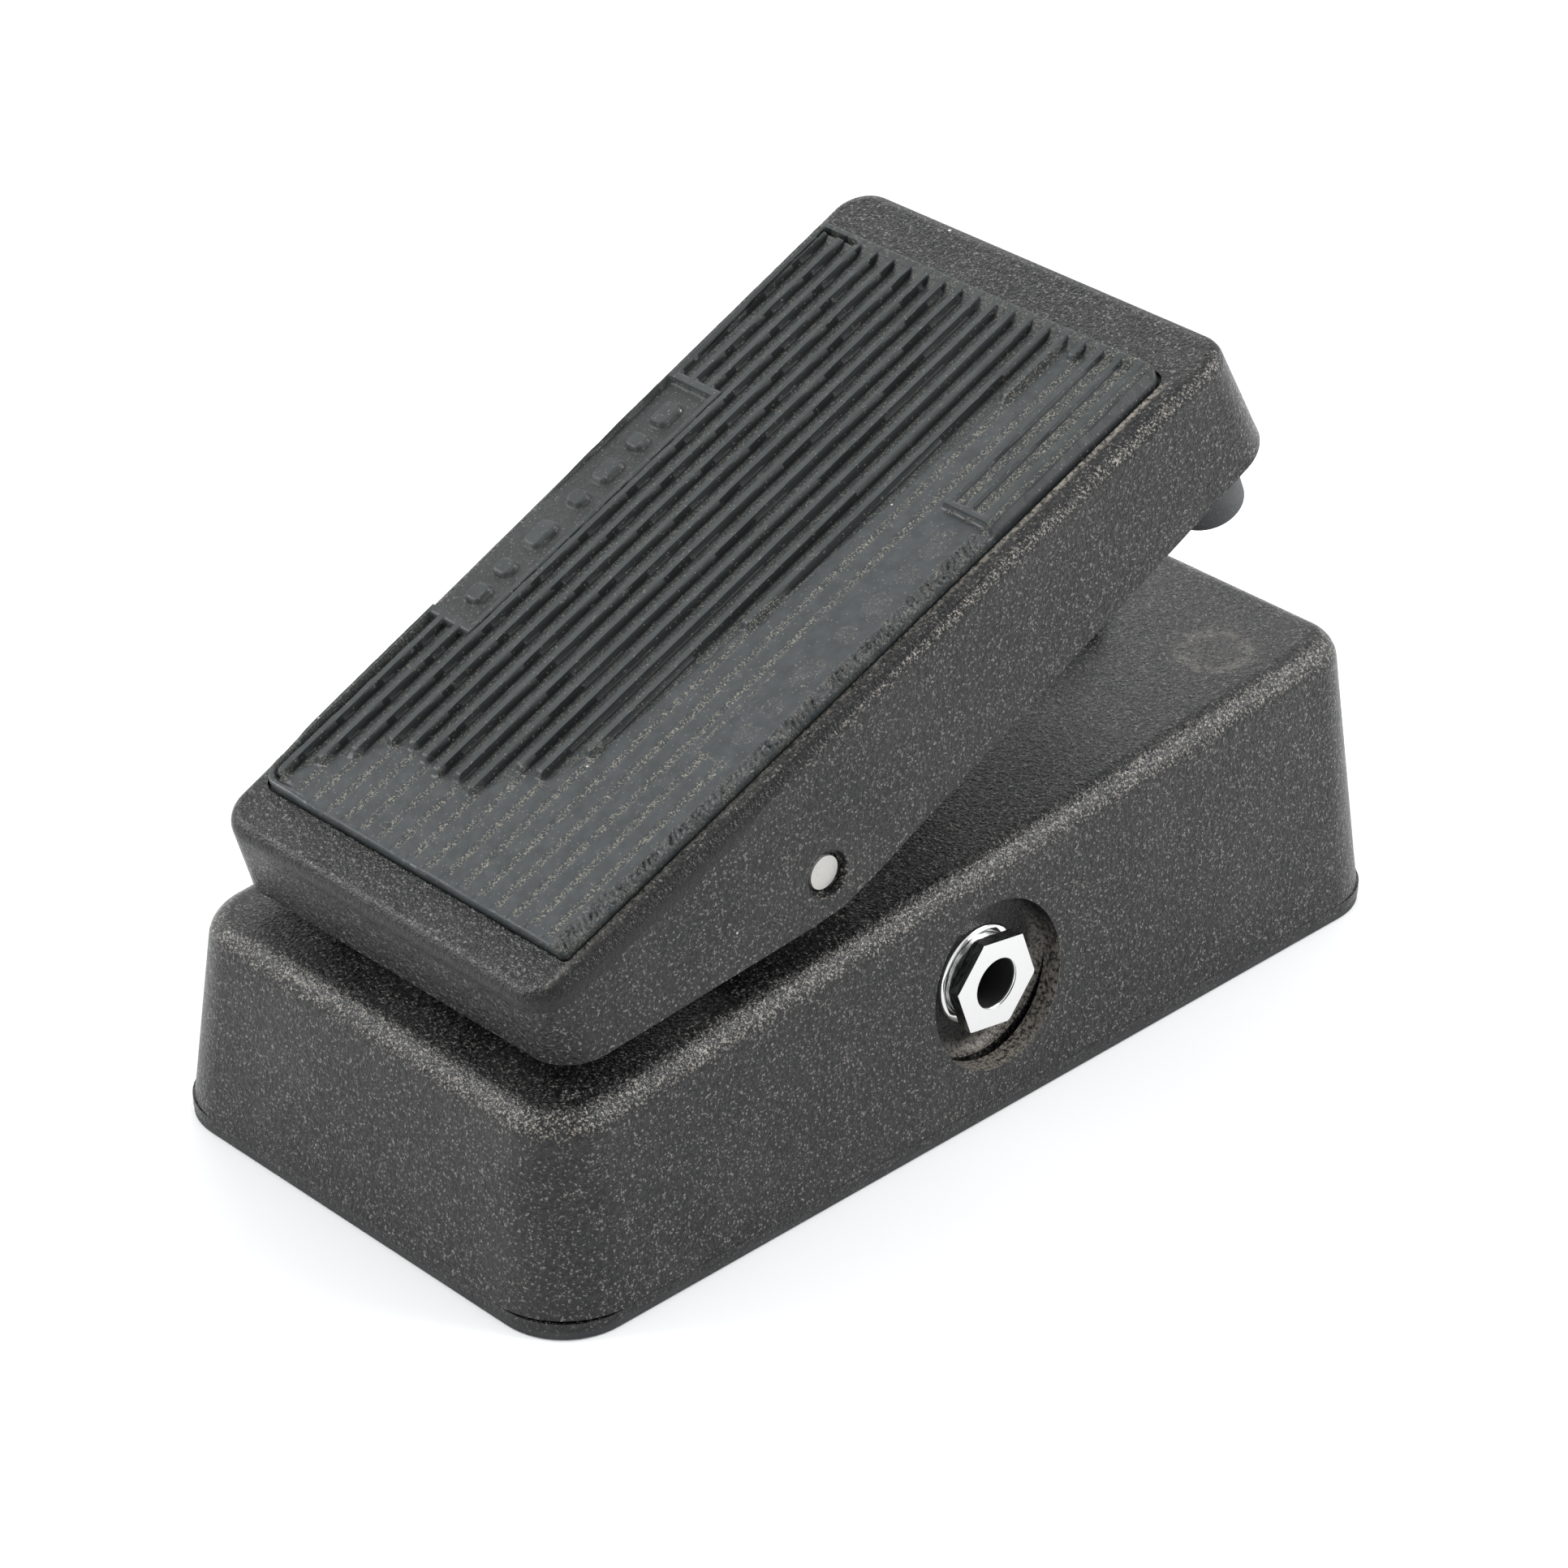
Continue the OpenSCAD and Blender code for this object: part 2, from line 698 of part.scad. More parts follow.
// Straight rack: bar, teeth towards +Y and a head with a cross slot for the pin
module rack() {
    pitch = PI * tooth_module;
    root = tooth_module * 1.25;
    tall = tooth_module * 1.95;
    color(col_nylon)
        translate([-2, rack_y, 0])
            rotate([90, 0, 90])
                difference() {
                    linear_extrude(4)
                        union() {
                            polygon([[-rack_w / 2, pinion_z - 5.6], [rack_w / 2, pinion_z - 5.6],
                                     [rack_w / 2, pin_z - 3], [3.4, pin_z - 3], [3.4, pin_z + 3.2],
                                     [-3.4, pin_z + 3.2], [-3.4, pin_z - 3], [-rack_w / 2, pin_z - 3]]);
                            for (k = [-1 : 5])
                                translate([rack_w / 2, pinion_z + (k + 0.5) * pitch])
                                    polygon([[-0.3, -pitch / 4 - tan(20) * root],
                                             [0, -pitch / 4 - tan(20) * root],
                                             [tall, -pitch / 4 + tan(20) * (tall - root)],
                                             [tall, pitch / 4 - tan(20) * (tall - root)],
                                             [0, pitch / 4 + tan(20) * root],
                                             [-0.3, pitch / 4 + tan(20) * root]]);
                        }
                    translate([0, pin_z, -1])
                        linear_extrude(9) {
                            translate([-0.6, -1.3]) square([1.2, 2.6]);
                            for (s = [-1, 1])
                                translate([0.6 * s, 0]) circle(r = 1.3, $fn = 40);
                        }
                }
}

// Block that keeps the rack in mesh
module rack_guide() {
    color(col_nylon)
        difference() {
            block([-6, rack_y - 6.4, 15.6], [4.4, rack_y + 1.7, 27.6]);
            block([-2.1, rack_y - rack_w / 2 - 0.1, 10], [2.1, rack_y + 5, 40]);
            for (z = [18.4, 25.6])
                translate([0, rack_y - 4.4, z]) xcyl(0.95, -7, -1, 32);
        }
}

module guide_screws() {
    color(col_steel)
        for (z = [18.4, 25.6])
            translate([0, rack_y - 4.4, z]) rotate([0, 90, 0]) translate([0, 0, -7.5])
                cross_screw(1.9, 1.2, 0.9, 6);
}

// ---- Wires inside the base ----

// Quarter bend in the YZ plane, from a run along -Z or +Z into a run along Y
module wire_bend(r) {
    rotate([90, 0, 90]) rotate_extrude(angle = 90, $fn = 48) translate([2, 0]) circle(r = r, $fn = 24);
}

// Wire in one YZ plane: up out of the header, over, down, along under the
// works at run_z, and up again to end_z at end_y
module wire_loop(x, r, over_z, drop_y, run_z, end_y, end_z) {
    from_y = board_y + 20.5;
    from_z = board_z + board_t + 4;
    translate([x, 0, 0])
        union() {
            translate([0, from_y, from_z]) cylinder(r = r, h = over_z - 2 - from_z, $fn = 24);
            translate([0, from_y + 2, over_z - 2]) rotate([90, 0, 0]) wire_bend(r);
            translate([0, from_y + 2, over_z]) rotate([-90, 0, 0])
                cylinder(r = r, h = drop_y - from_y - 4, $fn = 24);
            translate([0, drop_y - 2, over_z - 2]) wire_bend(r);
            translate([0, drop_y, run_z + 2]) cylinder(r = r, h = over_z - run_z - 4, $fn = 24);
            translate([0, drop_y + 2, run_z + 2]) rotate([180, 0, 0]) wire_bend(r);
            translate([0, drop_y + 2, run_z]) rotate([-90, 0, 0])
                cylinder(r = r, h = end_y - drop_y - 4, $fn = 24);
            translate([0, end_y - 2, run_z + 2]) rotate([-90, 0, 0]) wire_bend(r);
            translate([0, end_y, run_z + 2]) cylinder(r = r, h = end_z - run_z - 2, $fn = 24);
        }
}

module harness_wires() {
    over = board_z + board_t + 8;
    color([0.5, 0.08, 0.06]) {
        for (x = jack_wires)
            wire_loop(x, 0.45, over, -12.5, 3.4, jack_y + (abs(x) > 14 ? 0 : -3.4), 5.6);
        for (k = [-1, 0, 1])
            wire_loop(pot_wires[k + 1], 0.38, over, -12.5, 3.4, pinion_y + 4.2 * k, 7.5);
        for (x = switch_wires)
            wire_loop(x, 0.45, over, -12.5, 3.4, switch_y - 4, roof_z(switch_y) - 25.5);
        wire_loop(power_wires[0], 0.45, over, -12.5, 3.4, 28, 14.2);
    }
}

// ---- Treadle ----

// Drafted, round-edged form of the treadle; g is how far inside the skin
module tread_form(g, top, edge, low) {
    grow = tan(tread_draft) * (tread_top - low);
    hull()
        for (sx = [-1, 1], e = [0, 1]) {
            u = e == 0 ? -heel_reach + tread_corner_r : toe_reach - tread_corner_r;
            cx = sx * (tread_half(u) - tread_corner_r);
            major = max(tread_corner_r - g - edge, 0.2);
            translate([cx, u, top - edge]) round_puck(major, edge);
            translate([cx, u, low]) cylinder(r = tread_corner_r - g + grow, h = eps, $fn = 64);
        }
}

// Side view of the treadle, a shallow V with its point under the pivot
module tread_side() {
    bend_r = 20;
    heel_a = atan((skirt_heel_w - skirt_low_w) / heel_reach);
    toe_a = atan((skirt_toe_w - skirt_low_w) / toe_reach);
    reach = bend_r / cos((heel_a + toe_a) / 2);
    lean = (toe_a - heel_a) / 2;
    centre = [-reach * sin(lean), skirt_low_w + reach * cos(lean)];
    rotate([90, 0, 90])
        linear_extrude(90, center = true)
            polygon(concat(
                [[-60, 30], [-60, skirt_low_w + 60 * tan(heel_a)]],
                [for (i = [0 : 8]) let (a = -heel_a + i / 8 * (heel_a + toe_a))
                    centre + bend_r * [sin(a), -cos(a)]],
                [[100, skirt_low_w + 100 * tan(toe_a)], [100, 30]]));
}

module treadle_shell() {
    color(col_paint)
        on_treadle()
            difference() {
                union() {
                    intersection() {
                        difference() {
                            tread_form(0, tread_top, tread_edge_r, -12);
                            tread_form(skirt_t, tread_top - deck_t, 1, -13);
                        }
                        tread_side();
                    }
                    // Posts that carry the bumpers and the switch pad
                    for (s = [-1, 1]) {
                        translate([s * bumper_x, bumper_u, -6]) cylinder(r = 3.6, h = 20.5, $fn = fine);
                        translate([s * heel_stop_x, heel_stop_u, 6]) cylinder(r = 3.6, h = 8, $fn = fine);
                    }
                    translate([0, pad_u, -3]) cylinder(r = 4.4, h = 17, $fn = fine);
                    // Two lugs for the rack pin
                    for (s = [-1, 1])
                        translate([s * 4.5 - 1.3, 0, 0]) rotate([90, 0, 90])
                            linear_extrude(2.6)
                                union() {
                                    translate(arm_r * [cos(arm_tilt), sin(arm_tilt)]) circle(r = 3, $fn = 48);
                                    polygon([arm_r * [cos(arm_tilt), sin(arm_tilt)] + [-3, 0],
                                             arm_r * [cos(arm_tilt), sin(arm_tilt)] + [3, 0],
                                             [arm_r * cos(arm_tilt) + 6.5, tread_top - 2],
                                             [arm_r * cos(arm_tilt) - 6.5, tread_top - 2]]);
                                }
                }
                // Pocket for the mat
                translate([0, 0, tread_top - pocket_d]) mat_outline(0.15, 5);
                // Shaft bore and the wider mouths at its ends
                xcyl(shaft_d / 2 + 0.01, -40, 40);
                for (s = [0, 1]) mirror([s, 0, 0]) xcyl(3.05, 31.2, 40);
                // Bore of the rack pin
                translate([0, arm_r * cos(arm_tilt), arm_r * sin(arm_tilt)]) xcyl(1.2, -8, 8, 32);
                // Pilot holes of the bumper screws and of the rubber stems
                for (s = [-1, 1]) {
                    translate([s * bumper_x, bumper_u, -7]) cylinder(r = 1.1, h = 12, $fn = 32);
                    translate([s * heel_stop_x, heel_stop_u, 1]) cylinder(r = 1.1, h = 9, $fn = 32);
                }
                translate([0, pad_u, -4]) cylinder(r = 1.1, h = 10, $fn = 32);
            }
}

// Plan of the mat, a slight taper that is wider at the toe; g grows it
module mat_outline(g, h) {
    heel_u = -heel_reach + 6.9;
    toe_u = toe_reach - 8.7;
    heel_x = 27.1;
    toe_x = 30.3;
    linear_extrude(h)
        polygon([[-heel_x - g + 1, heel_u - g], [heel_x + g - 1, heel_u - g],
                 [heel_x + g, heel_u - g + 1], [toe_x + g, toe_u + g - 1.5],
                 [toe_x + g - 1.5, toe_u + g], [-toe_x - g + 1.5, toe_u + g],
                 [-toe_x - g, toe_u + g - 1.5], [-heel_x - g, heel_u - g + 1]]);
}

module tread_mat() {
    color(col_rubber)
        on_treadle()
            translate([0, 0, tread_top - pocket_d])
                union() {
                    mat_outline(0, mat_t);
                    intersection() {
                        mat_outline(-0.9, mat_t + rib_h);
                        for (i = [-10 : 9])
                            translate([(i + 0.5) * rib_pitch - rib_w / 2, -60, mat_t - 0.1])
                                cube([rib_w, 160, rib_h + 0.1]);
                    }
                }
}

// Solid of revolution for a rubber stop with a round lower rim
module stop_form(r, w_top, w_low, edge) {
    rotate_extrude($fn = fine)
        union() {
            translate([0, w_low + edge]) square([r, w_top - w_low - edge]);
            translate([0, w_low]) square([r - edge, edge + eps]);
            intersection() {
                translate([r - edge, w_low + edge]) circle(r = edge, $fn = 48);
                translate([0, w_low]) square([r, edge + eps]);
            }
        }
}

module toe_bumpers() {
    color(col_rubber)
        on_treadle()
            for (s = [-1, 1])
                translate([s * bumper_x, bumper_u, 0])
                    difference() {
                        stop_form(5, -6, -13.7, 1.2);
                        translate([0, 0, -15]) cylinder(r = 2.5, h = 4, $fn = 48);
                        translate([0, 0, -15]) cylinder(r = 1.2, h = 12, $fn = 32);
                    }
}

module heel_bumpers() {
    color(col_rubber)
        on_treadle()
            for (s = [-1, 1])
                translate([s * heel_stop_x, heel_stop_u, 0])
                    union() {
                        stop_form(3.8, 6, -0.55, 3.7);
                        translate([0, 0, 5.9]) cylinder(r = 1.05, h = 4, $fn = 32);
                    }
}

module bumper_screws() {
    color(col_steel)
        on_treadle()
            for (s = [-1, 1])
                translate([s * bumper_x, bumper_u, -11]) cross_screw(2.3, 1.4, 1.05, 12);
}

module switch_pad() {
    color(col_rubber)
        on_treadle()
            translate([0, pad_u, 0])
                union() {
                    stop_form(4.9, -3, -7.6, 0.8);
                    translate([0, 0, -3.1]) cylinder(r = 1.05, h = 8, $fn = 32);
                }
}

module rack_pin() {
    color(col_steel)
        translate([0, pin_y, pin_z]) xcyl(1.18, -7.2, 7.2, 32);
}

module pin_clips() {
    color(col_steel)
        for (s = [-1, 1])
            translate([s * 6.35 - 0.25, pin_y, pin_z]) rotate([0, 90, 0]) ring(2.4, 1.2, 0.5);
}

base_housing();
bottom_plate();
sole_pad();
plate_screws();
pivot_bushes();
tension_screw();
input_jack();
input_jack_washer();
input_jack_nut();
output_jack();
output_jack_washer();
output_jack_nut();
jack_lugs();
power_jack();
power_jack_pin();
power_jack_nut();
footswitch_body();
footswitch_nuts();
footswitch_lugs();
circuit_board();
board_screws();
inductor();
film_capacitors();
can_capacitors();
transistors();
resistors();
wire_header();
pot_bracket();
bracket_screws();
pot_body();
pot_nut();
pot_lugs();
rack_guide();
guide_screws();
harness_wires();
treadle_shell();
tread_mat();
pivot_shaft();
toe_bumpers();
heel_bumpers();
bumper_screws();
switch_pad();
rack_pin();
pin_clips();
rack();
pot_shaft();
pinion();
switch_plunger();
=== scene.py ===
import math

import bmesh
import bpy
import numpy as np
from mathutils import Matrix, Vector


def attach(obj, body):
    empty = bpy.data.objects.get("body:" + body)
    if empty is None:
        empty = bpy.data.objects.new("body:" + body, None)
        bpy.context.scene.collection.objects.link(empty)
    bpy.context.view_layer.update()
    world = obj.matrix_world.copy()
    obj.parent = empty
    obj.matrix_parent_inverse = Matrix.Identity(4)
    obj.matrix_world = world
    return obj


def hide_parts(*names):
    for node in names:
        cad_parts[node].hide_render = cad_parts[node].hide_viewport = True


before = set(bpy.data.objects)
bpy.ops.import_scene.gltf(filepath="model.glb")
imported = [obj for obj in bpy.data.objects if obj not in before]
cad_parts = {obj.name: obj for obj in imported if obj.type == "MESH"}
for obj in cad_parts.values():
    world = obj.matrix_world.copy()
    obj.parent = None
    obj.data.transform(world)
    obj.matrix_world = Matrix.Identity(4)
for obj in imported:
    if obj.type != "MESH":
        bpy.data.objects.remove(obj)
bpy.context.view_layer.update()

MM = 0.001

# ---- Driving dimensions, in millimetres, as in part.scad ----
# Base. Drafts are in degrees
FOOT_Z = 2.2
BASE_LEN, BASE_W = 148.0, 74.6
HEEL_H, TOE_H = 28.0, 40.2
BASE_DRAFT, BASE_CORNER, BASE_EDGE = 7.3, 11.0, 3.9
BASE_WALL, ROOF_T, ROOF_INNER_EDGE = 2.8, 3.0, 1.4
SLOPE = (TOE_H - HEEL_H) / BASE_LEN

# Treadle, in its own frame: u runs from the pivot to the toe, w is square to the mat
TILT = math.radians(22.75)
PIVOT_Y, PIVOT_Z = -25.4, 43.4
HEEL_REACH, TOE_REACH, TREAD_TOP = 40.3, 81.0, 16.5
TREAD_HEEL_W, TREAD_TOE_W = 59.0, 65.4
TREAD_DRAFT, TREAD_CORNER, TREAD_EDGE = 5.2, 4.9, 2.0
SKIRT_T, DECK_T, DECK_INNER_EDGE = 2.5, 3.2, 1.0
SKIRT_HEEL, SKIRT_LOW, SKIRT_TOE, SKIRT_BEND = 5.0, -6.2, 0.1, 20.0
PIVOT_R, PIVOT_MOUTH_R, PIVOT_MOUTH_X = 2.55, 3.05, 31.2

# Posts under the treadle: where they stand, where they end and their radii
BUMPER_X, BUMPER_U, BUMPER_W = 22.2, 77.2, -6.0
HEEL_STOP_X, HEEL_STOP_U, HEEL_STOP_W = 20.0, -33.0, 6.0
PAD_U, PAD_W = 71.8, -3.0
STOP_POST_R, PAD_POST_R, POST_TOP = 3.6, 4.4, 14.2

# Lugs that lift the rack's pin
ARM_R, ARM_TILT = 42.0, math.radians(7.25 - 22.75)
LUG_X, LUG_R, LUG_HALF, LUG_TOP, RACK_PIN_R = (3.2, 5.8), 3.0, 6.5, 14.5, 1.2
PIN_Y = 16.26

# Ears of the base that carry the pivot
EAR_IN, EAR_OUT, EAR_R = 20.4, 26.0, 6.4
EAR_MIDDLE = (EAR_IN + EAR_OUT) / 2
EAR_HALF, EAR_DROP = 9.4, 12.6
BUSH_R, TENSION_R = 4.0, 1.5

# Jacks, power socket, rack slot and footswitch
JACK_Y, JACK_Z = 0.9, 17.5
RECESS_R, RECESS_X, RECESS_FILLET, RECESS_PAD = 11.0, 31.2, 1.8, 2.2
POWER_Y, POWER_Z, POWER_R = 28.0, 16.0, 6.6
JACK_NECK_R, POWER_NECK_R = 4.6, 4.05
SLOT_W, SLOT_L, SLOT_CORNER = 15, 12, 2
SWITCH_Y, SWITCH_R = 46.8, 6.05
# Cuts into the base's walls end out here, clear of them
OUTSIDE = 45

# Scuff rings that the toe stops leave on the roof
SCUFF_X, SCUFF_Y, SCUFF_R = 22.2, 53.6, 4.4

# Mat: its half width at the heel and at the toe on each side, because it sits a little
# off centre, and the radius of its corners there
MAT_HEEL_U, MAT_TOE_U = -33.4, 72.3
MAT_X = {-1: (27.6, 29.9), 1: (27.0, 28.4)}
MAT_CORNER = {-1: (2.8, 1.6), 1: (0.6, 2.0)}
MAT_GAP, POCKET_DEPTH = 0.35, 0.6
MAT_LOW, MAT_FLOOR, RIB_H, RIB_PITCH, RIB_W = 15.95, 17.3, 1.0, 3.0, 1.1

# Jack nut and washer: places along the axis count from the recess floor
NUT_BACK, NUT_FRONT, NUT_HEX_T, NUT_CORNER_R, NUT_TURN = 0.9, 3.83, 1.8, 6.93, 20
COLLAR_R, NUT_BORE_R, NUT_MOUTH_R = 5.6, 4.62, 3.48
WASHER_T, WASHER_IN, WASHER_OUT, WASHER_ROLL = 0.88, 4.75, 6.75, 0.25


# ---- Camera ----
# Azimuth 46 degrees, 31 degrees up, through a long lens; in metres
CAMERA_PLACE = Vector((0.4161, -0.4036, 0.3804))
CAMERA_TARGET = Vector((-0.00366, 0.00183, 0.02906))
SENSOR_MM, LENS_MM = 36.0, 123.48


def camera():
    """The photograph's view."""
    data = bpy.data.cameras.new("camera")
    data.sensor_width = SENSOR_MM
    data.lens = LENS_MM
    data.clip_start, data.clip_end = 0.05, 20.0
    cam = bpy.data.objects.new("camera", data)
    bpy.context.scene.collection.objects.link(cam)
    cam.rotation_euler = (CAMERA_TARGET - CAMERA_PLACE).to_track_quat("-Z", "Y").to_euler()
    cam.location = CAMERA_PLACE
    bpy.context.scene.camera = cam


camera()


# ---- Mesh helpers ----
def roof_z(y):
    """Height of the base's roof."""
    return HEEL_H + SLOPE * (y + BASE_LEN / 2)


def on_treadle(p):
    """A point (x, reach, height) of the treadle's own frame, in the row frame, mm."""
    x, u, w = p
    return (x, PIVOT_Y + u * math.cos(TILT) - w * math.sin(TILT),
            PIVOT_Z + u * math.sin(TILT) + w * math.cos(TILT))


def tread_half(u):
    """Half width of the treadle's top."""
    widening = (TREAD_TOE_W - TREAD_HEEL_W) / 2
    return TREAD_HEEL_W / 2 + widening * (u + HEEL_REACH) / (HEEL_REACH + TOE_REACH)


def shade(mesh, angle=32):
    """Smooth shading, with edges sharper than the angle kept sharp."""
    mesh.polygons.foreach_set("use_smooth", [True] * len(mesh.polygons))
    mesh.set_sharp_from_angle(angle=math.radians(angle))
    mesh.update()


def new_object(name, points, faces, angle=32):
    """Mesh object from points in millimetres."""
    mesh = bpy.data.meshes.new(name)
    mesh.from_pydata([[c * MM for c in p] for p in points], [], faces)
    mesh.validate()
    solid = bmesh.new()
    solid.from_mesh(mesh)
    bmesh.ops.recalc_face_normals(solid, faces=solid.faces)
    solid.to_mesh(mesh)
    solid.free()
    shade(mesh, angle)
    obj = bpy.data.objects.new(name, mesh)
    bpy.context.scene.collection.objects.link(obj)
    return obj


def ring_faces(rings, sides, closed=False):
    """Quads from each ring of points to the next, and from the last to the first if closed."""
    faces = []
    for k in range(rings if closed else rings - 1):
        here, there = k * sides, (k + 1) % rings * sides
        for i in range(sides):
            following = (i + 1) % sides
            faces.append([here + i, here + following, there + following, there + i])
    return faces


def skin(name, loops, place=lambda p: p, angle=32):
    """Closed shell through a stack of loops of equal length, capped at both ends."""
    count = len(loops[0])
    points = [place(p) for loop in loops for p in loop]
    faces = ring_faces(len(loops), count)
    faces.append(list(range(count))[::-1])
    faces.append([(len(loops) - 1) * count + i for i in range(count)])
    return new_object(name, points, faces, angle)


def circle(sides):
    """Angles of the corners of a regular polygon."""
    return [2 * math.pi * i / sides for i in range(sides)]


def lathe(name, profile, axis, origin, sides=96, place=lambda p: p, angle=32):
    """Solid of revolution: profile is (radius, distance along axis), in millimetres."""
    axis, origin = Vector(axis).normalized(), Vector(origin)
    side = axis.orthogonal().normalized()
    up = axis.cross(side)
    loops = []
    for radius, along in profile:
        r = max(radius, 1e-4)
        loops.append([tuple(origin + axis * along + side * (r * math.cos(a)) + up * (r * math.sin(a)))
                      for a in circle(sides)])
    return skin(name, loops, place, angle)


def boolean(target, tool, operation="DIFFERENCE"):
    """Applies a boolean and removes the tool."""
    step = target.modifiers.new("step", "BOOLEAN")
    step.operation, step.solver, step.object = operation, "EXACT", tool
    bpy.context.view_layer.update()
    graph = bpy.context.evaluated_depsgraph_get()
    mesh = bpy.data.meshes.new_from_object(target.evaluated_get(graph))
    target.modifiers.clear()
    target.data = mesh
    bpy.data.objects.remove(tool)


def bore(target, radius, near, far, axis, origin, sides=96, place=lambda p: p):
    """Cuts a straight round hole between two distances along an axis."""
    boolean(target, lathe("tool", [(radius, near), (radius, far)], axis, origin, sides, place))


def bevel(obj, wanted, width, segments=3):
    """Rounds the hard edges whose two ends both pass the test, given in millimetres."""
    solid = bmesh.new()
    solid.from_mesh(obj.data)
    solid.edges.ensure_lookup_table()
    edges = [e for e in solid.edges
             if len(e.link_faces) == 2 and e.calc_face_angle(0) > math.radians(30)
             and all(wanted(v.co / MM) for v in e.verts)]
    bmesh.ops.bevel(solid, geom=edges, offset=width * MM, segments=segments, profile=0.5,
                    affect="EDGES", clamp_overlap=True)
    solid.to_mesh(obj.data)
    solid.free()


def finish_shape(obj, angle=32):
    """Smooth rounded edges, while large flat faces keep their own normals."""
    shade(obj.data, angle)
    flat = obj.modifiers.new("flat faces stay flat", "WEIGHTED_NORMAL")
    flat.keep_sharp = True
    flat.weight = 80


def arc(n):
    """n + 1 even steps from 0 to 1."""
    return [i / n for i in range(n + 1)]


# ---- Drafted castings ----
def stations(corners, per_corner, step):
    """Places round the plan: (centre x, centre y, outward x, outward y), anticlockwise."""
    out = []
    count = len(corners)
    normal = []
    for i in range(count):
        a, b = Vector(corners[i]), Vector(corners[(i + 1) % count])
        run = (b - a).normalized()
        normal.append(math.atan2(-run.x, run.y))
    for i in range(count):
        start, end = normal[i - 1], normal[i]
        while end < start:
            end += 2 * math.pi
        for t in arc(per_corner):
            a = start + (end - start) * t
            out.append((*corners[i], math.cos(a), math.sin(a)))
        here, there = Vector(corners[i]), Vector(corners[(i + 1) % count])
        pieces = max(2, round((there - here).length / step))
        for k in range(1, pieces):
            at = here.lerp(there, k / pieces)
            out.append((at.x, at.y, math.cos(end), math.sin(end)))
    return out


def wall_loops(places, radius0, draft, top, slope, edge, low, levels, edge_steps):
    """Loops up a drafted wall and over its rounded top edge. radius0 is the corner
    radius at height 0, top(x, y) the roof's height, low(x, y) the lower edge's."""
    k = math.tan(math.radians(draft))
    lean = math.radians(draft)
    loops = [[] for _ in range(levels + edge_steps + 2)]
    for cx, cy, nx, ny in places:
        m = slope * ny
        phi = math.atan(m)
        zc = (top(cx, cy) - edge / math.cos(phi) + m * (radius0 - edge / math.cos(lean))) / (1 + m * k)
        rc = radius0 - edge / math.cos(lean) - k * zc
        z_high = zc + edge * math.sin(lean)
        z_low = low(cx, cy)
        # the wall's lower end and its radius there depend on each other
        for _ in range(6):
            r = radius0 - k * z_low
            z_low = low(cx + nx * r, cy + ny * r)
        profile = []
        for t in arc(levels)[:-1]:
            z = z_low + (z_high - z_low) * t
            profile.append((radius0 - k * z, z))
        for t in arc(edge_steps):
            a = lean + (math.pi / 2 + phi - lean) * t
            profile.append((rc + edge * math.cos(a), zc + edge * math.sin(a)))
        rim_r, rim_z = profile[-1]
        for inset in (0.5, 1.2):
            profile.append((rim_r - inset, rim_z - inset * m))
        for loop, (r, z) in zip(loops, profile):
            loop.append((cx + nx * r, cy + ny * r, z))
    return loops


def rounded_rim(outer, inner, bulge):
    """Three loops that round the lower edge between an outer and an inner loop."""
    out = []
    for t in (0.12, 0.5, 0.88):
        drop = bulge * math.sin(math.pi * t) ** 0.5
        out.append([tuple(a[i] * (1 - t) + b[i] * t - (drop if i == 2 else 0) for i in range(3))
                    for a, b in zip(outer, inner)])
    return out


def shell(name, places, radius0, draft, top, slope, edge, wall, thick, inner_edge, low,
          place=lambda p: p, rim=0.0):
    """A hollow casting, open below, as one closed skin."""
    levels, outer_steps, inner_steps = 8, 14, 4
    outer = wall_loops(places, radius0, draft, top, slope, edge, low, levels, outer_steps)
    inner = wall_loops(places, radius0 - wall / math.cos(math.radians(draft)), draft,
                       lambda x, y: top(x, y) - thick, slope, inner_edge, low, levels, inner_steps)
    raised = [[tuple(c + (rim if i == 2 else 0) for i, c in enumerate(p)) for p in loop]
              for loop in (outer[0], inner[0])]
    join = rounded_rim(raised[0], raised[1], rim)
    loops = inner[:0:-1] + [raised[1]] + join[::-1] + [raised[0]] + outer[1:]
    return skin(name, loops, place)


def tread_low(x, u):
    """Lower edge of the skirt: a shallow V, rounded under the pivot."""
    heel_a = math.atan((SKIRT_HEEL - SKIRT_LOW) / HEEL_REACH)
    toe_a = math.atan((SKIRT_TOE - SKIRT_LOW) / TOE_REACH)
    reach = SKIRT_BEND / math.cos((heel_a + toe_a) / 2)
    lean = (toe_a - heel_a) / 2
    cu, cw = -reach * math.sin(lean), SKIRT_LOW + reach * math.cos(lean)
    if u < cu - SKIRT_BEND * math.sin(heel_a):
        return SKIRT_LOW - u * math.tan(heel_a)
    if u > cu + SKIRT_BEND * math.sin(toe_a):
        return SKIRT_LOW + u * math.tan(toe_a)
    return cw - math.sqrt(SKIRT_BEND ** 2 - (u - cu) ** 2)


def slab(name, outline, z0, z1, place=lambda p: p):
    """Prism of an outline in the x, y plane."""
    return skin(name, [[(x, y, z) for x, y in outline] for z in (z0, z1)], place)


def round_outline(w, l, r, cy):
    """Rectangle with rounded corners, w wide and l long, centred on x = 0 and y = cy."""
    out = []
    for sx, sy, a0 in ((1, -1, -90), (1, 1, 0), (-1, 1, 90), (-1, -1, 180)):
        for t in arc(8):
            a = math.radians(a0 + 90 * t)
            out.append((sx * (w / 2 - r) + r * math.cos(a), cy + sy * (l / 2 - r) + r * math.sin(a)))
    return out


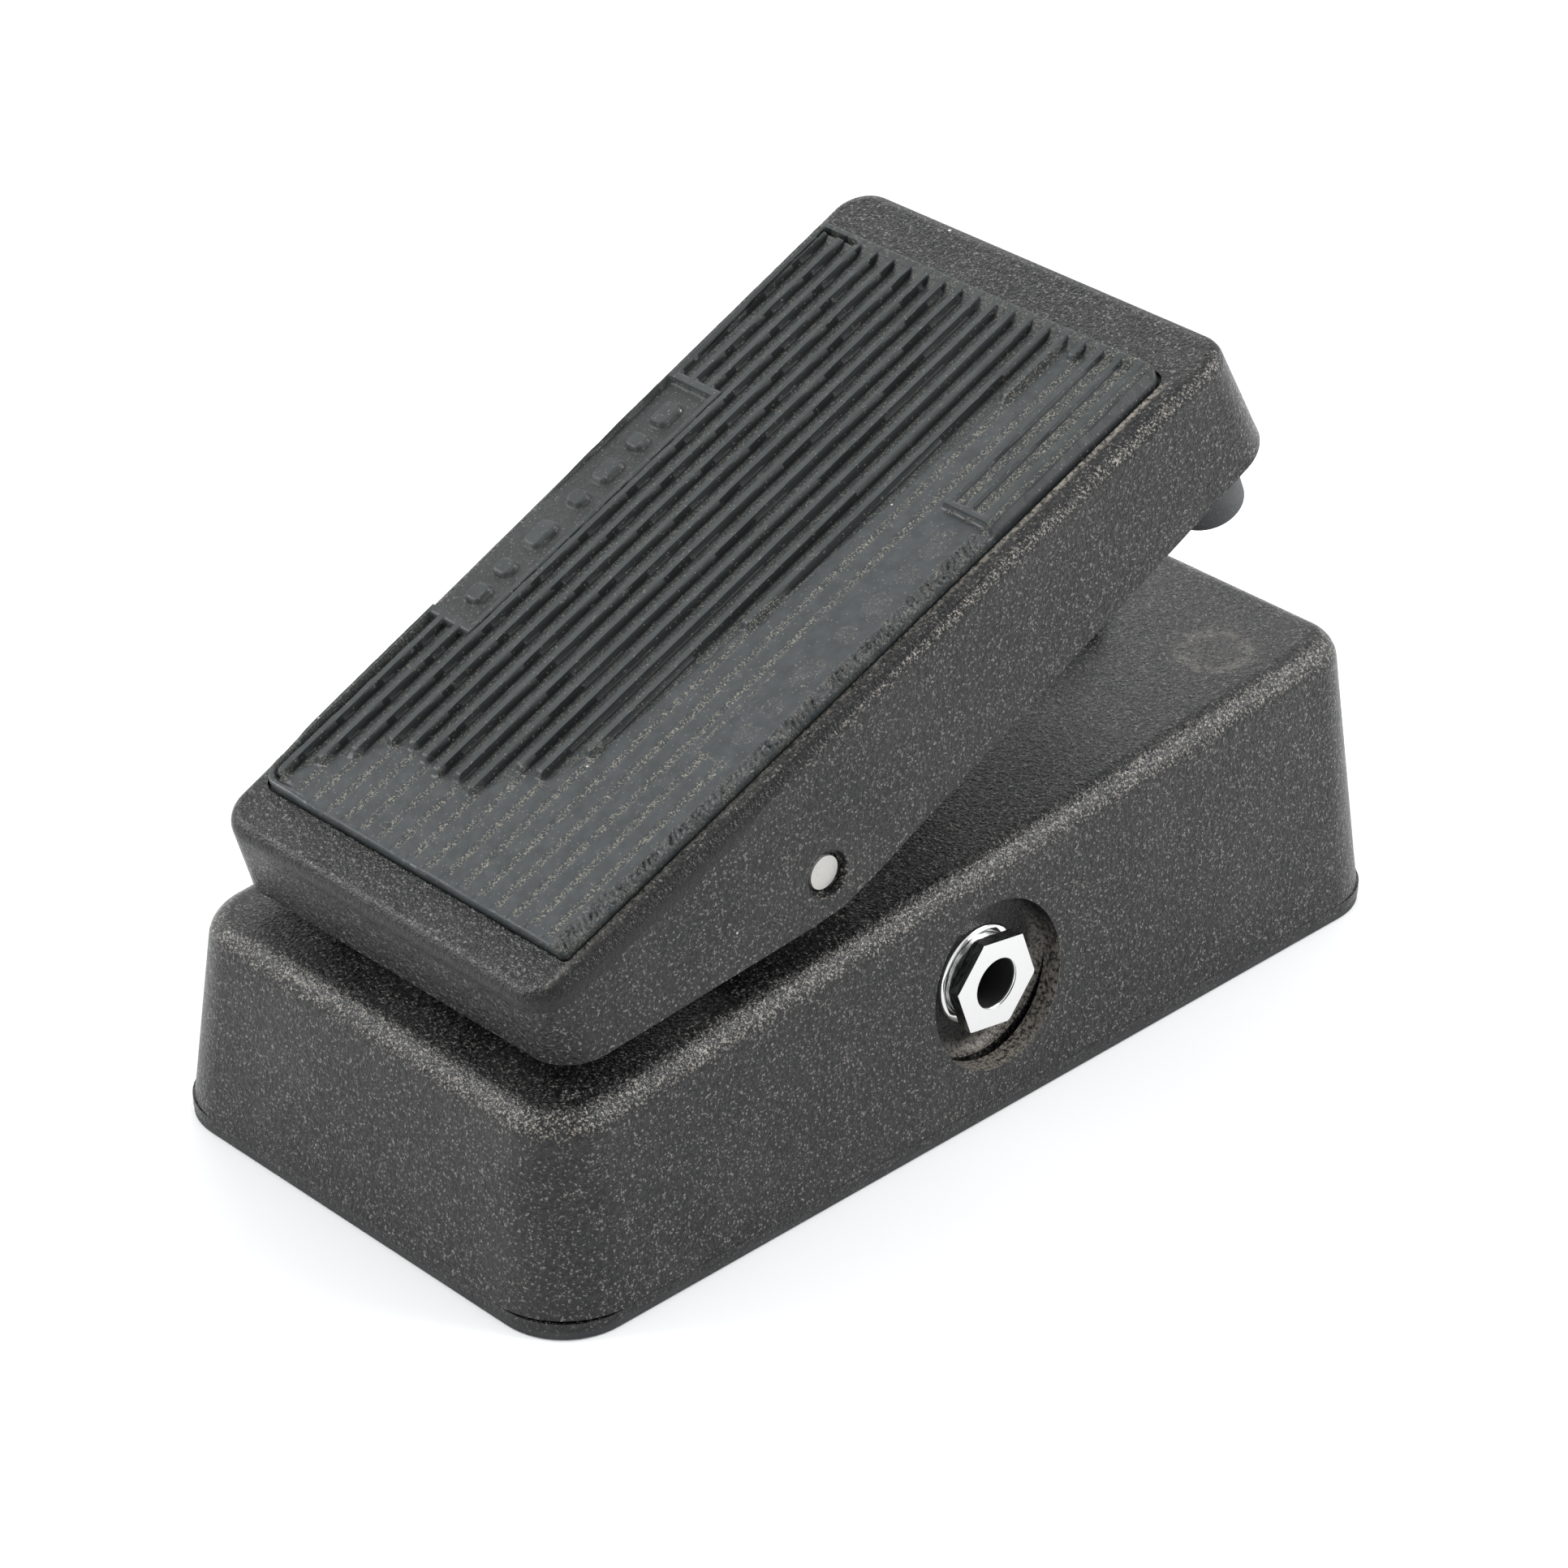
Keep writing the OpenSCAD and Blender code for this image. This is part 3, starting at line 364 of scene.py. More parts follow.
def add_ears(obj):
    """Ears with round tops, bored for the pivot's bushes and the tension screw."""
    ear = [(EAR_R * math.cos(math.pi * t), EAR_R * math.sin(math.pi * t)) for t in arc(28)]
    ear += [(-EAR_HALF, -EAR_DROP), (EAR_HALF, -EAR_DROP)]
    for side in (1, -1):
        ends = [[(side * x, PIVOT_Y + p, PIVOT_Z + q) for p, q in ear] for x in (EAR_IN, EAR_OUT)]
        boolean(obj, skin("tool", ends), "UNION")
        bore(obj, BUSH_R, EAR_IN - 2.4, EAR_OUT + 2.0, (side, 0, 0), (0, PIVOT_Y, PIVOT_Z), 64)
    bore(obj, TENSION_R, 0, 10, (0, 0, 1), (-EAR_MIDDLE, PIVOT_Y, PIVOT_Z), 32)


def cut_recesses(obj):
    """Recesses and holes of the jacks, power socket, rack and footswitch."""
    jack, power = (0, JACK_Y, JACK_Z), (0, POWER_Y, POWER_Z)
    profile = [(0, RECESS_X)]
    for t in arc(6):
        a = math.pi / 2 * t
        profile.append((RECESS_R - RECESS_FILLET + RECESS_FILLET * math.sin(a),
                        RECESS_X + RECESS_FILLET - RECESS_FILLET * math.cos(a)))
    profile += [(RECESS_R, OUTSIDE), (0, OUTSIDE)]
    for side in (1, -1):
        boolean(obj, lathe("tool", profile, (side, 0, 0), jack, 128))
        bore(obj, JACK_NECK_R, 20, 40, (side, 0, 0), jack, 64)
    bore(obj, POWER_R, RECESS_X + 0.6, OUTSIDE, (-1, 0, 0), power)
    bore(obj, POWER_NECK_R, 20, 40, (-1, 0, 0), power, 64)
    boolean(obj, slab("tool", round_outline(SLOT_W, SLOT_L, SLOT_CORNER, PIN_Y - 0.2), 20, 50))
    bore(obj, SWITCH_R, 20, 50, (0, 0, 1), (0, SWITCH_Y, 0), 64)


def on_recess_mouth(p):
    """True on the outer edge of a jack's or the power socket's recess."""
    for y, z, r in ((JACK_Y, JACK_Z, RECESS_R), (POWER_Y, POWER_Z, POWER_R)):
        if abs(math.hypot(p.y - y, p.z - z) - r) < 0.05 and abs(p.x) > RECESS_X + 1.2:
            return True
    return False


def on_ear(p):
    """True on the part of an ear that stands clear of the roof."""
    return abs(abs(p.x) - EAR_MIDDLE) < 3.1 and p.z > 37 and abs(p.y - PIVOT_Y) < 10


def base_casting():
    """Outer skin, cavity, recesses, slot, ears and bores of the base."""
    cx, cy = BASE_W / 2 - BASE_CORNER, BASE_LEN / 2 - BASE_CORNER
    places = stations([(cx, -cy), (cx, cy), (-cx, cy), (-cx, -cy)], 26, 7.0)
    radius0 = BASE_CORNER + math.tan(math.radians(BASE_DRAFT)) * FOOT_Z
    obj = shell("casting_base", places, radius0, BASE_DRAFT, lambda x, y: roof_z(y), SLOPE, BASE_EDGE,
                BASE_WALL, ROOF_T, ROOF_INNER_EDGE, lambda x, y: FOOT_Z, rim=0.25)
    pad_r = RECESS_R + RECESS_PAD
    for side in (1, -1):
        pad = lathe("tool", [(pad_r, 28.7), (pad_r, 32.6)], (side, 0, 0), (0, JACK_Y, JACK_Z))
        boolean(obj, pad, "UNION")
    add_ears(obj)
    cut_recesses(obj)
    bevel(obj, on_recess_mouth, 0.28)
    bevel(obj, on_ear, 0.5)
    finish_shape(obj)
    return obj


def mat_edge(u, side, grow=0.0):
    """How far the mat reaches to one side, with rounded corners."""
    heel_x, toe_x = MAT_X[side]
    half = heel_x + (toe_x - heel_x) * (u - MAT_HEEL_U) / (MAT_TOE_U - MAT_HEEL_U) + grow
    for away, r in zip((u - MAT_HEEL_U + grow, MAT_TOE_U + grow - u), MAT_CORNER[side]):
        away = min(max(away, 0.0), r)
        half -= r - math.sqrt(r * r - (r - away) ** 2)
    return half


def add_posts(obj):
    """Posts that carry the stops and the switch pad."""
    posts = [(s * BUMPER_X, BUMPER_U, STOP_POST_R, BUMPER_W) for s in (1, -1)]
    posts += [(s * HEEL_STOP_X, HEEL_STOP_U, STOP_POST_R, HEEL_STOP_W) for s in (1, -1)]
    posts += [(0.0, PAD_U, PAD_POST_R, PAD_W)]
    for x, u, r, low in posts:
        post = lathe("tool", [(r, low), (r, POST_TOP)], (0, 0, 1), (x, u, 0), 48, on_treadle)
        boolean(obj, post, "UNION")


def add_lugs(obj):
    """Two tapered lugs with a hole for the rack's pin."""
    lug_u, lug_w = ARM_R * math.cos(ARM_TILT), ARM_R * math.sin(ARM_TILT)
    lug = [(lug_u + LUG_HALF, LUG_TOP), (lug_u - LUG_HALF, LUG_TOP)]
    turns = [math.pi * t for t in arc(20)]
    lug += [(lug_u - LUG_R * math.cos(a), lug_w - LUG_R * math.sin(a)) for a in turns]
    for side in (1, -1):
        part = skin("tool", [[(side * x, u, w) for u, w in lug] for x in LUG_X], on_treadle)
        boolean(obj, part, "UNION")
    bore(obj, RACK_PIN_R, -8, 8, (1, 0, 0), (0, lug_u, lug_w), 32, on_treadle)


def cut_mat_pocket(obj):
    """Shallow pocket with a narrow gap round the mat."""
    length = MAT_TOE_U - MAT_HEEL_U + 2 * MAT_GAP
    us = [MAT_HEEL_U - MAT_GAP + length * (0.5 - 0.5 * math.cos(math.pi * t)) for t in arc(60)]
    outline = [(mat_edge(u, 1, MAT_GAP), u) for u in us]
    outline += [(-mat_edge(u, -1, MAT_GAP), u) for u in us[::-1]]
    boolean(obj, slab("tool", outline, TREAD_TOP - POCKET_DEPTH, TREAD_TOP + 6, on_treadle))


def on_pivot_mouth(p):
    """True on the outer edge of the pivot's wider mouth."""
    away = math.hypot(p.y - PIVOT_Y, p.z - PIVOT_Z)
    return abs(away - PIVOT_MOUTH_R) < 0.05 and abs(p.x) > PIVOT_MOUTH_X + 0.3


def treadle_casting():
    """The treadle: drafted skirt with a V lower edge, posts, lugs, pocket and bores."""
    corners = []
    for sx, u in ((1, -HEEL_REACH + TREAD_CORNER), (1, TOE_REACH - TREAD_CORNER),
                  (-1, TOE_REACH - TREAD_CORNER), (-1, -HEEL_REACH + TREAD_CORNER)):
        corners.append((sx * (tread_half(u) - TREAD_CORNER), u))
    radius0 = TREAD_CORNER + math.tan(math.radians(TREAD_DRAFT)) * TREAD_TOP
    obj = shell("casting_treadle", stations(corners, 22, 5.0), radius0, TREAD_DRAFT,
                lambda x, y: TREAD_TOP, 0.0, TREAD_EDGE, SKIRT_T, DECK_T, DECK_INNER_EDGE,
                tread_low, on_treadle, rim=0.35)
    add_posts(obj)
    add_lugs(obj)
    cut_mat_pocket(obj)
    bore(obj, PIVOT_R, -40, 40, (1, 0, 0), (0, 0, 0), 64, on_treadle)
    for side in (1, -1):
        bore(obj, PIVOT_MOUTH_R, PIVOT_MOUTH_X, 40, (side, 0, 0), (0, 0, 0), 64, on_treadle)
    bevel(obj, on_pivot_mouth, 0.15)
    finish_shape(obj)
    return obj


# ---- Mat ----
def value_noise(x, y, cell, seed):
    """Smooth seeded noise from 0 to 1 on arrays of millimetres."""
    grid = np.random.default_rng(seed).random((256, 256))
    gx, gy = x / cell + 64.0, y / cell + 64.0
    ix, iy = np.floor(gx).astype(int), np.floor(gy).astype(int)
    fx, fy = gx - ix, gy - iy
    fx, fy = fx * fx * (3 - 2 * fx), fy * fy * (3 - 2 * fy)
    ix, iy = ix % 255, iy % 255
    return ((grid[ix, iy] * (1 - fx) + grid[ix + 1, iy] * fx) * (1 - fy)
            + (grid[ix, iy + 1] * (1 - fx) + grid[ix + 1, iy + 1] * fx) * fy)


def ramp(t):
    """Smooth step from 0 to 1."""
    t = np.clip(t, 0.0, 1.0)
    return t * t * (3 - 2 * t)


# Where the ribs are torn off: x across the mat, and the reach u where they begin again
WEAR_LINE = [(-31, -36), (-27.5, -33.0), (-24.5, -31.0), (-21.5, -26.0), (-18.5, -24.5), (-15.5, -20.5),
             (-12.5, -21.0), (-3.5, -21.5), (-0.5, -21.0), (1.2, -17.5), (2.4, -15.0), (5.4, -15.5),
             (7.0, -12), (8.4, -6.5), (9.8, 8.0), (11.4, 23.5), (12.8, 45.0), (14.0, 69.0), (32, 69.0)]
# Label panels, the raised block beyond the right one, and the ragged strip and the
# slope at the right edge
PANEL_U = (-2.0, 41.6)
LEFT_PANEL_X, LEFT_LABEL_X = (-28.9, -21.0), -24.6
RIGHT_PANEL_X, RIGHT_LABEL_X = (19.6, 26.2), 22.6
BLOCK_X, BLOCK_U = (18.6, 27.2), 41.8
STRIP_X, STRIP_U, SLOPE_X = 25.2, 41.0, 27.0
# Plain dashes in place of lettering: centre along the mat, half length, half width
DASHES = [(2.4, 1.5, 1.3), (7.2, 1.3, 1.3), (13.6, 2.2, 1.3), (20.4, 1.2, 1.3), (25.8, 2.0, 1.3),
          (31.4, 1.3, 1.3), (36.6, 2.0, 1.3)]


def dash_field(x, u, centre):
    """1 on the plain dashes of a label panel, 0 elsewhere, soft over 0.3 mm."""
    field = np.zeros_like(x)
    for at, half_u, half_x in DASHES:
        away = np.hypot(np.maximum(np.abs(x - centre) - half_x + 0.8, 0),
                        np.maximum(np.abs(u - at) - half_u + 0.8, 0)) - 0.8
        field = np.maximum(field, ramp(0.5 - away / 0.35))
    return field


def saw(at, centre, half, soft):
    """1 within half of the nearest of a row of lines one rib pitch apart, 0 away from them."""
    off = np.abs((at - centre + RIB_PITCH / 2) % RIB_PITCH - RIB_PITCH / 2)
    return ramp((half + soft - off) / soft)


def window(at, low, high, soft=0.3):
    """1 between low and high, soft at both ends."""
    return ramp((at - low) / soft) * ramp((high - at) / soft)


def blend(field, mask, value):
    """The field with a value put in where the mask is 1."""
    return field * (1 - mask) + mask * value


def ribs_and_wear(x, u, shake, fine):
    """Ribs at the mat's full height, torn off along the wear line, over dusty grooves."""
    rib_at = RIB_PITCH / 2
    ridge = saw(x, rib_at, RIB_W / 2 - 0.09, 0.15)
    wall = saw(x, rib_at + RIB_W / 2 + 0.12, 0.16, 0.12)
    stripe = saw(x, -0.62, 0.42, 0.2)
    # every rib is torn off at its own place; the grooves fade out over a few millimetres
    wear_x, wear_u = zip(*WEAR_LINE)
    rib_number = np.floor((x - rib_at + RIB_PITCH / 2) / RIB_PITCH)
    torn = np.random.default_rng(21).uniform(-0.9, 0.9, 64)[(rib_number + 32).astype(int)]
    middle = rib_number * RIB_PITCH + rib_at
    end = np.interp(middle, wear_x, wear_u) + torn + 0.9 * shake + 0.5 * fine
    rib_left = ramp((u - end) / 0.9)
    floor_left = ramp((u - np.interp(x, wear_x, wear_u) - 1.4 * shake + 0.8) / 2.6)
    # a raised block at the right of the toe keeps its ribs, and a broad one beside them
    block = window(x, *BLOCK_X) * ramp((u - BLOCK_U) / 0.4)
    rib_left = np.maximum(rib_left, block)
    broad = window(x, 24.9, 27.3, 0.5) * ramp((u - BLOCK_U) / 0.4)
    h = (0.17 - 0.06 * stripe) * (1 - floor_left) + 0.52 * block
    top = RIB_H - 0.05 * (1 + shake)
    h = h + (top - h) * np.maximum(ridge * rib_left, broad)
    # the grooves run up to a rim at the toe
    toe = ramp((u - 69.4) / 2.4)
    h = np.maximum(h, toe * (RIB_H - 0.05))
    h = np.maximum(h, ramp((u - 70.9) / 0.25) * RIB_H)
    worn = (1 - floor_left) * (1 - block)
    dust = 0.95 * stripe * worn * ramp((71.0 - u) / 1.0) * ramp((u + 32.4) / 0.5)
    valley = (1 - ridge) * (1 - wall)
    dust = np.maximum(dust, valley * floor_left * (0.30 + 0.35 * value_noise(x, u, 5.0, 13)))
    dust = np.maximum(dust, valley * block * 0.9)
    dust = np.maximum(dust, toe * valley * ramp((70.9 - u) / 0.4) * 0.8)
    # painted shade on the rib side walls where the ribs stand, and half as much on the block
    painted_shade = wall * np.maximum(rib_left * floor_left, 0.5 * block)
    return h, dust, painted_shade, worn + 0.35 * block


def left_rim(x, u, edge, h, painted_shade):
    """Raised rim with a gutter along the left edge and round the heel corner."""
    lip = ramp((0.95 - edge) / 0.25) * ramp((-x - 17.0) / 6.0)
    gutter = window(edge, 0.95, 1.5, 0.2) * ramp((-x - 22.0) / 2.0)
    h = blend(h, gutter, 0.05)
    h = np.maximum(h, lip * (0.55 + 0.4 * ramp((u + 29) / 6.0)))
    heel_line = ramp((0.42 - edge) / 0.2) * ramp((-29.0 - u) / 2.0)
    h = np.maximum(h, heel_line * (0.16 + 0.2 * value_noise(x, u, 4.0, 14)))
    # painted shade fills the gutter
    return h, np.maximum(painted_shade, gutter)


def left_panel(x, u, shake, h, dust, painted_shade):
    """Recessed label panel with plain raised dashes and a bar at each end."""
    inside = window(x, *LEFT_PANEL_X) * window(u, *PANEL_U)
    marks = dash_field(x, u, LEFT_LABEL_X)
    h = blend(h, inside, 0.10 + (0.72 + 0.2 * shake) * marks)
    # painted shade on the panel floor round the dashes
    painted_shade = blend(painted_shade, inside, (1 - marks) * 0.55)
    dust = blend(dust, inside, (1 - marks) * 0.15)
    left, right = LEFT_PANEL_X
    low, high = PANEL_U
    bars = window(x, right - 0.2, right + 1.0, 0.25) * window(u, low - 1.2, high + 1.2)
    for at in (low - 0.6, high + 0.6):
        bar = window(x, left + 0.5, right + 1.0) * ramp((0.85 - np.abs(u - at)) / 0.3)
        bars = np.maximum(bars, bar)
    return np.maximum(h, bars * 0.95), dust * (1 - bars), painted_shade * (1 - bars)


def right_panel(x, u, h, dust):
    """Label panel worn smooth: only faint dusty dashes and a faint outline are left."""
    inside = window(x, *RIGHT_PANEL_X, 0.2) * window(u, *PANEL_U)
    trace = dash_field(x, u, RIGHT_LABEL_X)
    rim = trace * (1 - trace) * 4
    dust = blend(dust, inside, np.clip(0.45 * rim + 0.22 * trace, 0, 1))
    h = blend(h, inside, 0.17 - 0.04 * rim)
    corner_line = (window(x, 18.5, 19.3, 0.2) * window(u, -2.6, 12.0)
                   + window(u, -2.9, -2.1, 0.2) * window(x, 18.6, 24.6))
    return h, np.maximum(dust, 0.6 * np.clip(corner_line, 0, 1))


def end_bar(x, u, h, dust, painted_shade):
    """Bar across the heel end of the block, with a shadowed gap before it."""
    bar = window(x, 19.0, 26.4) * window(u, BLOCK_U + 0.1, BLOCK_U + 1.3, 0.25)
    gap = window(x, 19.6, 26.4) * window(u, BLOCK_U - 0.8, BLOCK_U + 0.1, 0.3)
    return np.maximum(h, bar * 0.98), dust * (1 - bar), np.maximum(painted_shade * (1 - bar), gap * 0.85)


def ragged_strip(x, u, shake, h, dust, painted_shade):
    """Torn rubber down the right edge: short ridges across it, wider at the heel."""
    rag = ramp((x - STRIP_X + 0.9 * ramp((-18.0 - u) / 9.0)) / 0.4) * ramp((STRIP_U - u) / 1.0)
    ridges = np.abs(((u + 0.5 * x + 1.2 * shake) / 0.9) % 1.0 - 0.5) * 2
    h = h + rag * (0.85 * ridges * value_noise(x, u, 1.3, 8) + 0.22 * value_noise(x, u, 0.4, 9) - 0.16)
    crumbs = rag * (0.25 + 0.7 * (1 - ridges)) * value_noise(x, u, 1.0, 10) * 1.4
    dust = np.maximum(dust * (1 - rag), crumbs)
    # painted shade between the ridges
    return h, dust, np.maximum(painted_shade, rag * 0.9 * (1 - ridges) * value_noise(x, u, 0.8, 15))


def side_slope(x, u, h, dust, painted_shade):
    """Smooth slope from the broad rib down to the treadle, darkened with painted shade."""
    slope = ramp((x - SLOPE_X) / 0.2) * ramp((u - STRIP_U) / 0.6)
    h = blend(h, slope, RIB_H - 1.35 * np.clip((x - SLOPE_X) / 1.3, 0, 1))
    return h, dust * (1 - slope), np.maximum(painted_shade * (1 - slope), slope * 0.75)


def mat_fields(x, u, edge):
    """Height above the groove floor, and the dust, wear and painted shade masks. x and u are
    places on the mat, edge the distance to its nearest edge, all in millimetres."""
    shake = value_noise(x, u, 2.3, 5) - 0.5
    fine = value_noise(x, u, 0.5, 6) - 0.5
    h, dust, painted_shade, wear = ribs_and_wear(x, u, shake, fine)
    h, painted_shade = left_rim(x, u, edge, h, painted_shade)
    h, dust, painted_shade = left_panel(x, u, shake, h, dust, painted_shade)
    h, dust = right_panel(x, u, h, dust)
    h, dust, painted_shade = end_bar(x, u, h, dust, painted_shade)
    h, dust, painted_shade = ragged_strip(x, u, shake, h, dust, painted_shade)
    h, dust, painted_shade = side_slope(x, u, h, dust, painted_shade)
    h = h + 0.05 * (value_noise(x, u, 1.1, 12) - 0.5) + 0.02 * fine
    return h, np.clip(dust, 0, 1), np.clip(wear, 0, 1), np.clip(painted_shade, 0, 1)


def mat_grid(columns, rows):
    """Places x, u on the mat's top, row by row from the heel, and their distance to its edge."""
    s = np.linspace(-1, 1, columns)
    u_line = MAT_HEEL_U + (MAT_TOE_U - MAT_HEEL_U) * np.linspace(0, 1, rows)
    left, right = [np.array([mat_edge(v, side) for v in u_line])[:, None] for side in (-1, 1)]
    x = (right - left) / 2 + s[None, :] * (right + left) / 2
    u = np.repeat(u_line[:, None], columns, axis=1)
    away = np.minimum(np.minimum(x + left, right - x), np.minimum(u - MAT_HEEL_U, MAT_TOE_U - u))
    # the rim follows the large corner at the left of the heel
    r = MAT_CORNER[-1][0]
    corner_x, corner_u = r - MAT_X[-1][0], MAT_HEEL_U + r
    in_corner = np.hypot(x - corner_x, u - corner_u)
    away = np.where((x < corner_x) & (u < corner_u), np.minimum(away, r - in_corner), away)
    return x, u, away


def tread_mat():
    """The ribbed rubber mat as a fine height field on a closed body."""
    columns, rows, edge_r = 410, 460, 0.3
    x, u, away = mat_grid(columns, rows)
    h, dust, wear, painted_shade = mat_fields(x, u, away)
    near = np.clip(away, 0, edge_r)
    h = h - (edge_r - np.sqrt(edge_r * edge_r - (edge_r - near) ** 2))
    top = np.stack([x, u, MAT_FLOOR + h], -1).reshape(-1, 3)
    # the rim runs along the heel, up the right side, back along the toe and down the left
    rim = [(0, j) for j in range(columns)]
    rim += [(i, columns - 1) for i in range(1, rows)]
    rim += [(rows - 1, j) for j in range(columns - 2, -1, -1)]
    rim += [(i, 0) for i in range(rows - 2, 0, -1)]
    rim_id = [i * columns + j for i, j in rim]
    base, count = len(top), len(rim)
    low = [(top[k][0], top[k][1], MAT_LOW) for k in rim_id]
    points = np.vstack([top, np.array(low)])
    a = np.arange((rows - 1) * columns).reshape(rows - 1, columns)[:, :-1].ravel()
    faces = np.stack([a, a + 1, a + columns + 1, a + columns], 1).tolist()
    for k in range(count):
        following = (k + 1) % count
        faces.append([rim_id[following], rim_id[k], base + k, base + following])
    faces.append([base + k for k in range(count)])
    world = np.stack(on_treadle(points.T), -1)
    obj = new_object("mat_rubber_ribbed", world.tolist(), faces, 60)
    for name, field in (("dust", dust), ("wear", wear), ("painted_shade", painted_shade)):
        values = np.zeros(len(points), np.float32)
        values[:base] = field.ravel()
        obj.data.attributes.new(name, "FLOAT", "POINT").data.foreach_set("value", values)
    return obj


# ---- Small parts ----
def hex_nut(name, side):
    """Plated hexagon nut of one jack: a chamfered hexagon on a narrower collar."""
    axis, origin = (side, 0, 0), (0, JACK_Y, JACK_Z)
    x0, x1 = RECESS_X + NUT_BACK, RECESS_X + NUT_FRONT
    back = x1 - NUT_HEX_T
    # the hexagon is turned about the jack's axis as in the CAD
    turns = [math.radians(NUT_TURN + 60 * i) for i in range(6)]
    corners = [(NUT_CORNER_R * math.cos(a), NUT_CORNER_R * math.sin(a)) for a in turns]
    obj = skin(name, [[(side * x, JACK_Y + q, JACK_Z - p) for p, q in corners] for x in (x0, x1)])
    turned = [(0, x0 - 0.1), (COLLAR_R, x0 - 0.1), (COLLAR_R, back), (6.6, back), (7.2, back + 0.3),
              (7.2, x1 - 0.22), (6.75, x1 + 0.02), (0, x1 + 0.02)]
    boolean(obj, lathe("tool", turned, axis, origin, 128), "INTERSECT")
    hole = [(NUT_BORE_R, x0 - 1), (NUT_BORE_R, x1 - 0.09), (NUT_MOUTH_R, x1 - 0.08),
            (NUT_MOUTH_R, x1 - 0.03), (NUT_MOUTH_R + 0.08, x1 + 1)]
    boolean(obj, lathe("tool", hole, axis, origin, 96))
    bevel(obj, lambda p: math.hypot(p.y - JACK_Y, p.z - JACK_Z) > 5.8, 0.1, 2)
    finish_shape(obj, 28)
    return obj


def washer(name, side, sides=96):
    """Thin plated washer with rolled edges, on the recess floor."""
    x0, x1 = RECESS_X, RECESS_X + WASHER_T
    inner, outer, roll = WASHER_IN, WASHER_OUT, WASHER_ROLL
    profile = [(inner, x0), (outer, x0), (outer, x1 - roll), (outer - roll, x1), (inner + roll, x1),
               (inner, x1 - roll)]
    points = []
    for r, x in profile:
        points += [[side * x, JACK_Y + r * math.cos(a), JACK_Z + r * math.sin(a)] for a in circle(sides)]
    return new_object(name, points, ring_faces(len(profile), sides, True), 50)


def floor_stage():
    """A plain pale floor."""
    mesh = bpy.data.meshes.new("floor")
    half, z = 6.0, -0.0002
    corners = [(-half, -half, z), (half, -half, z), (half, half, z), (-half, half, z)]
    mesh.from_pydata(corners, [], [(0, 1, 2, 3)])
    obj = bpy.data.objects.new("floor", mesh)
    bpy.context.scene.collection.objects.link(obj)
    return obj


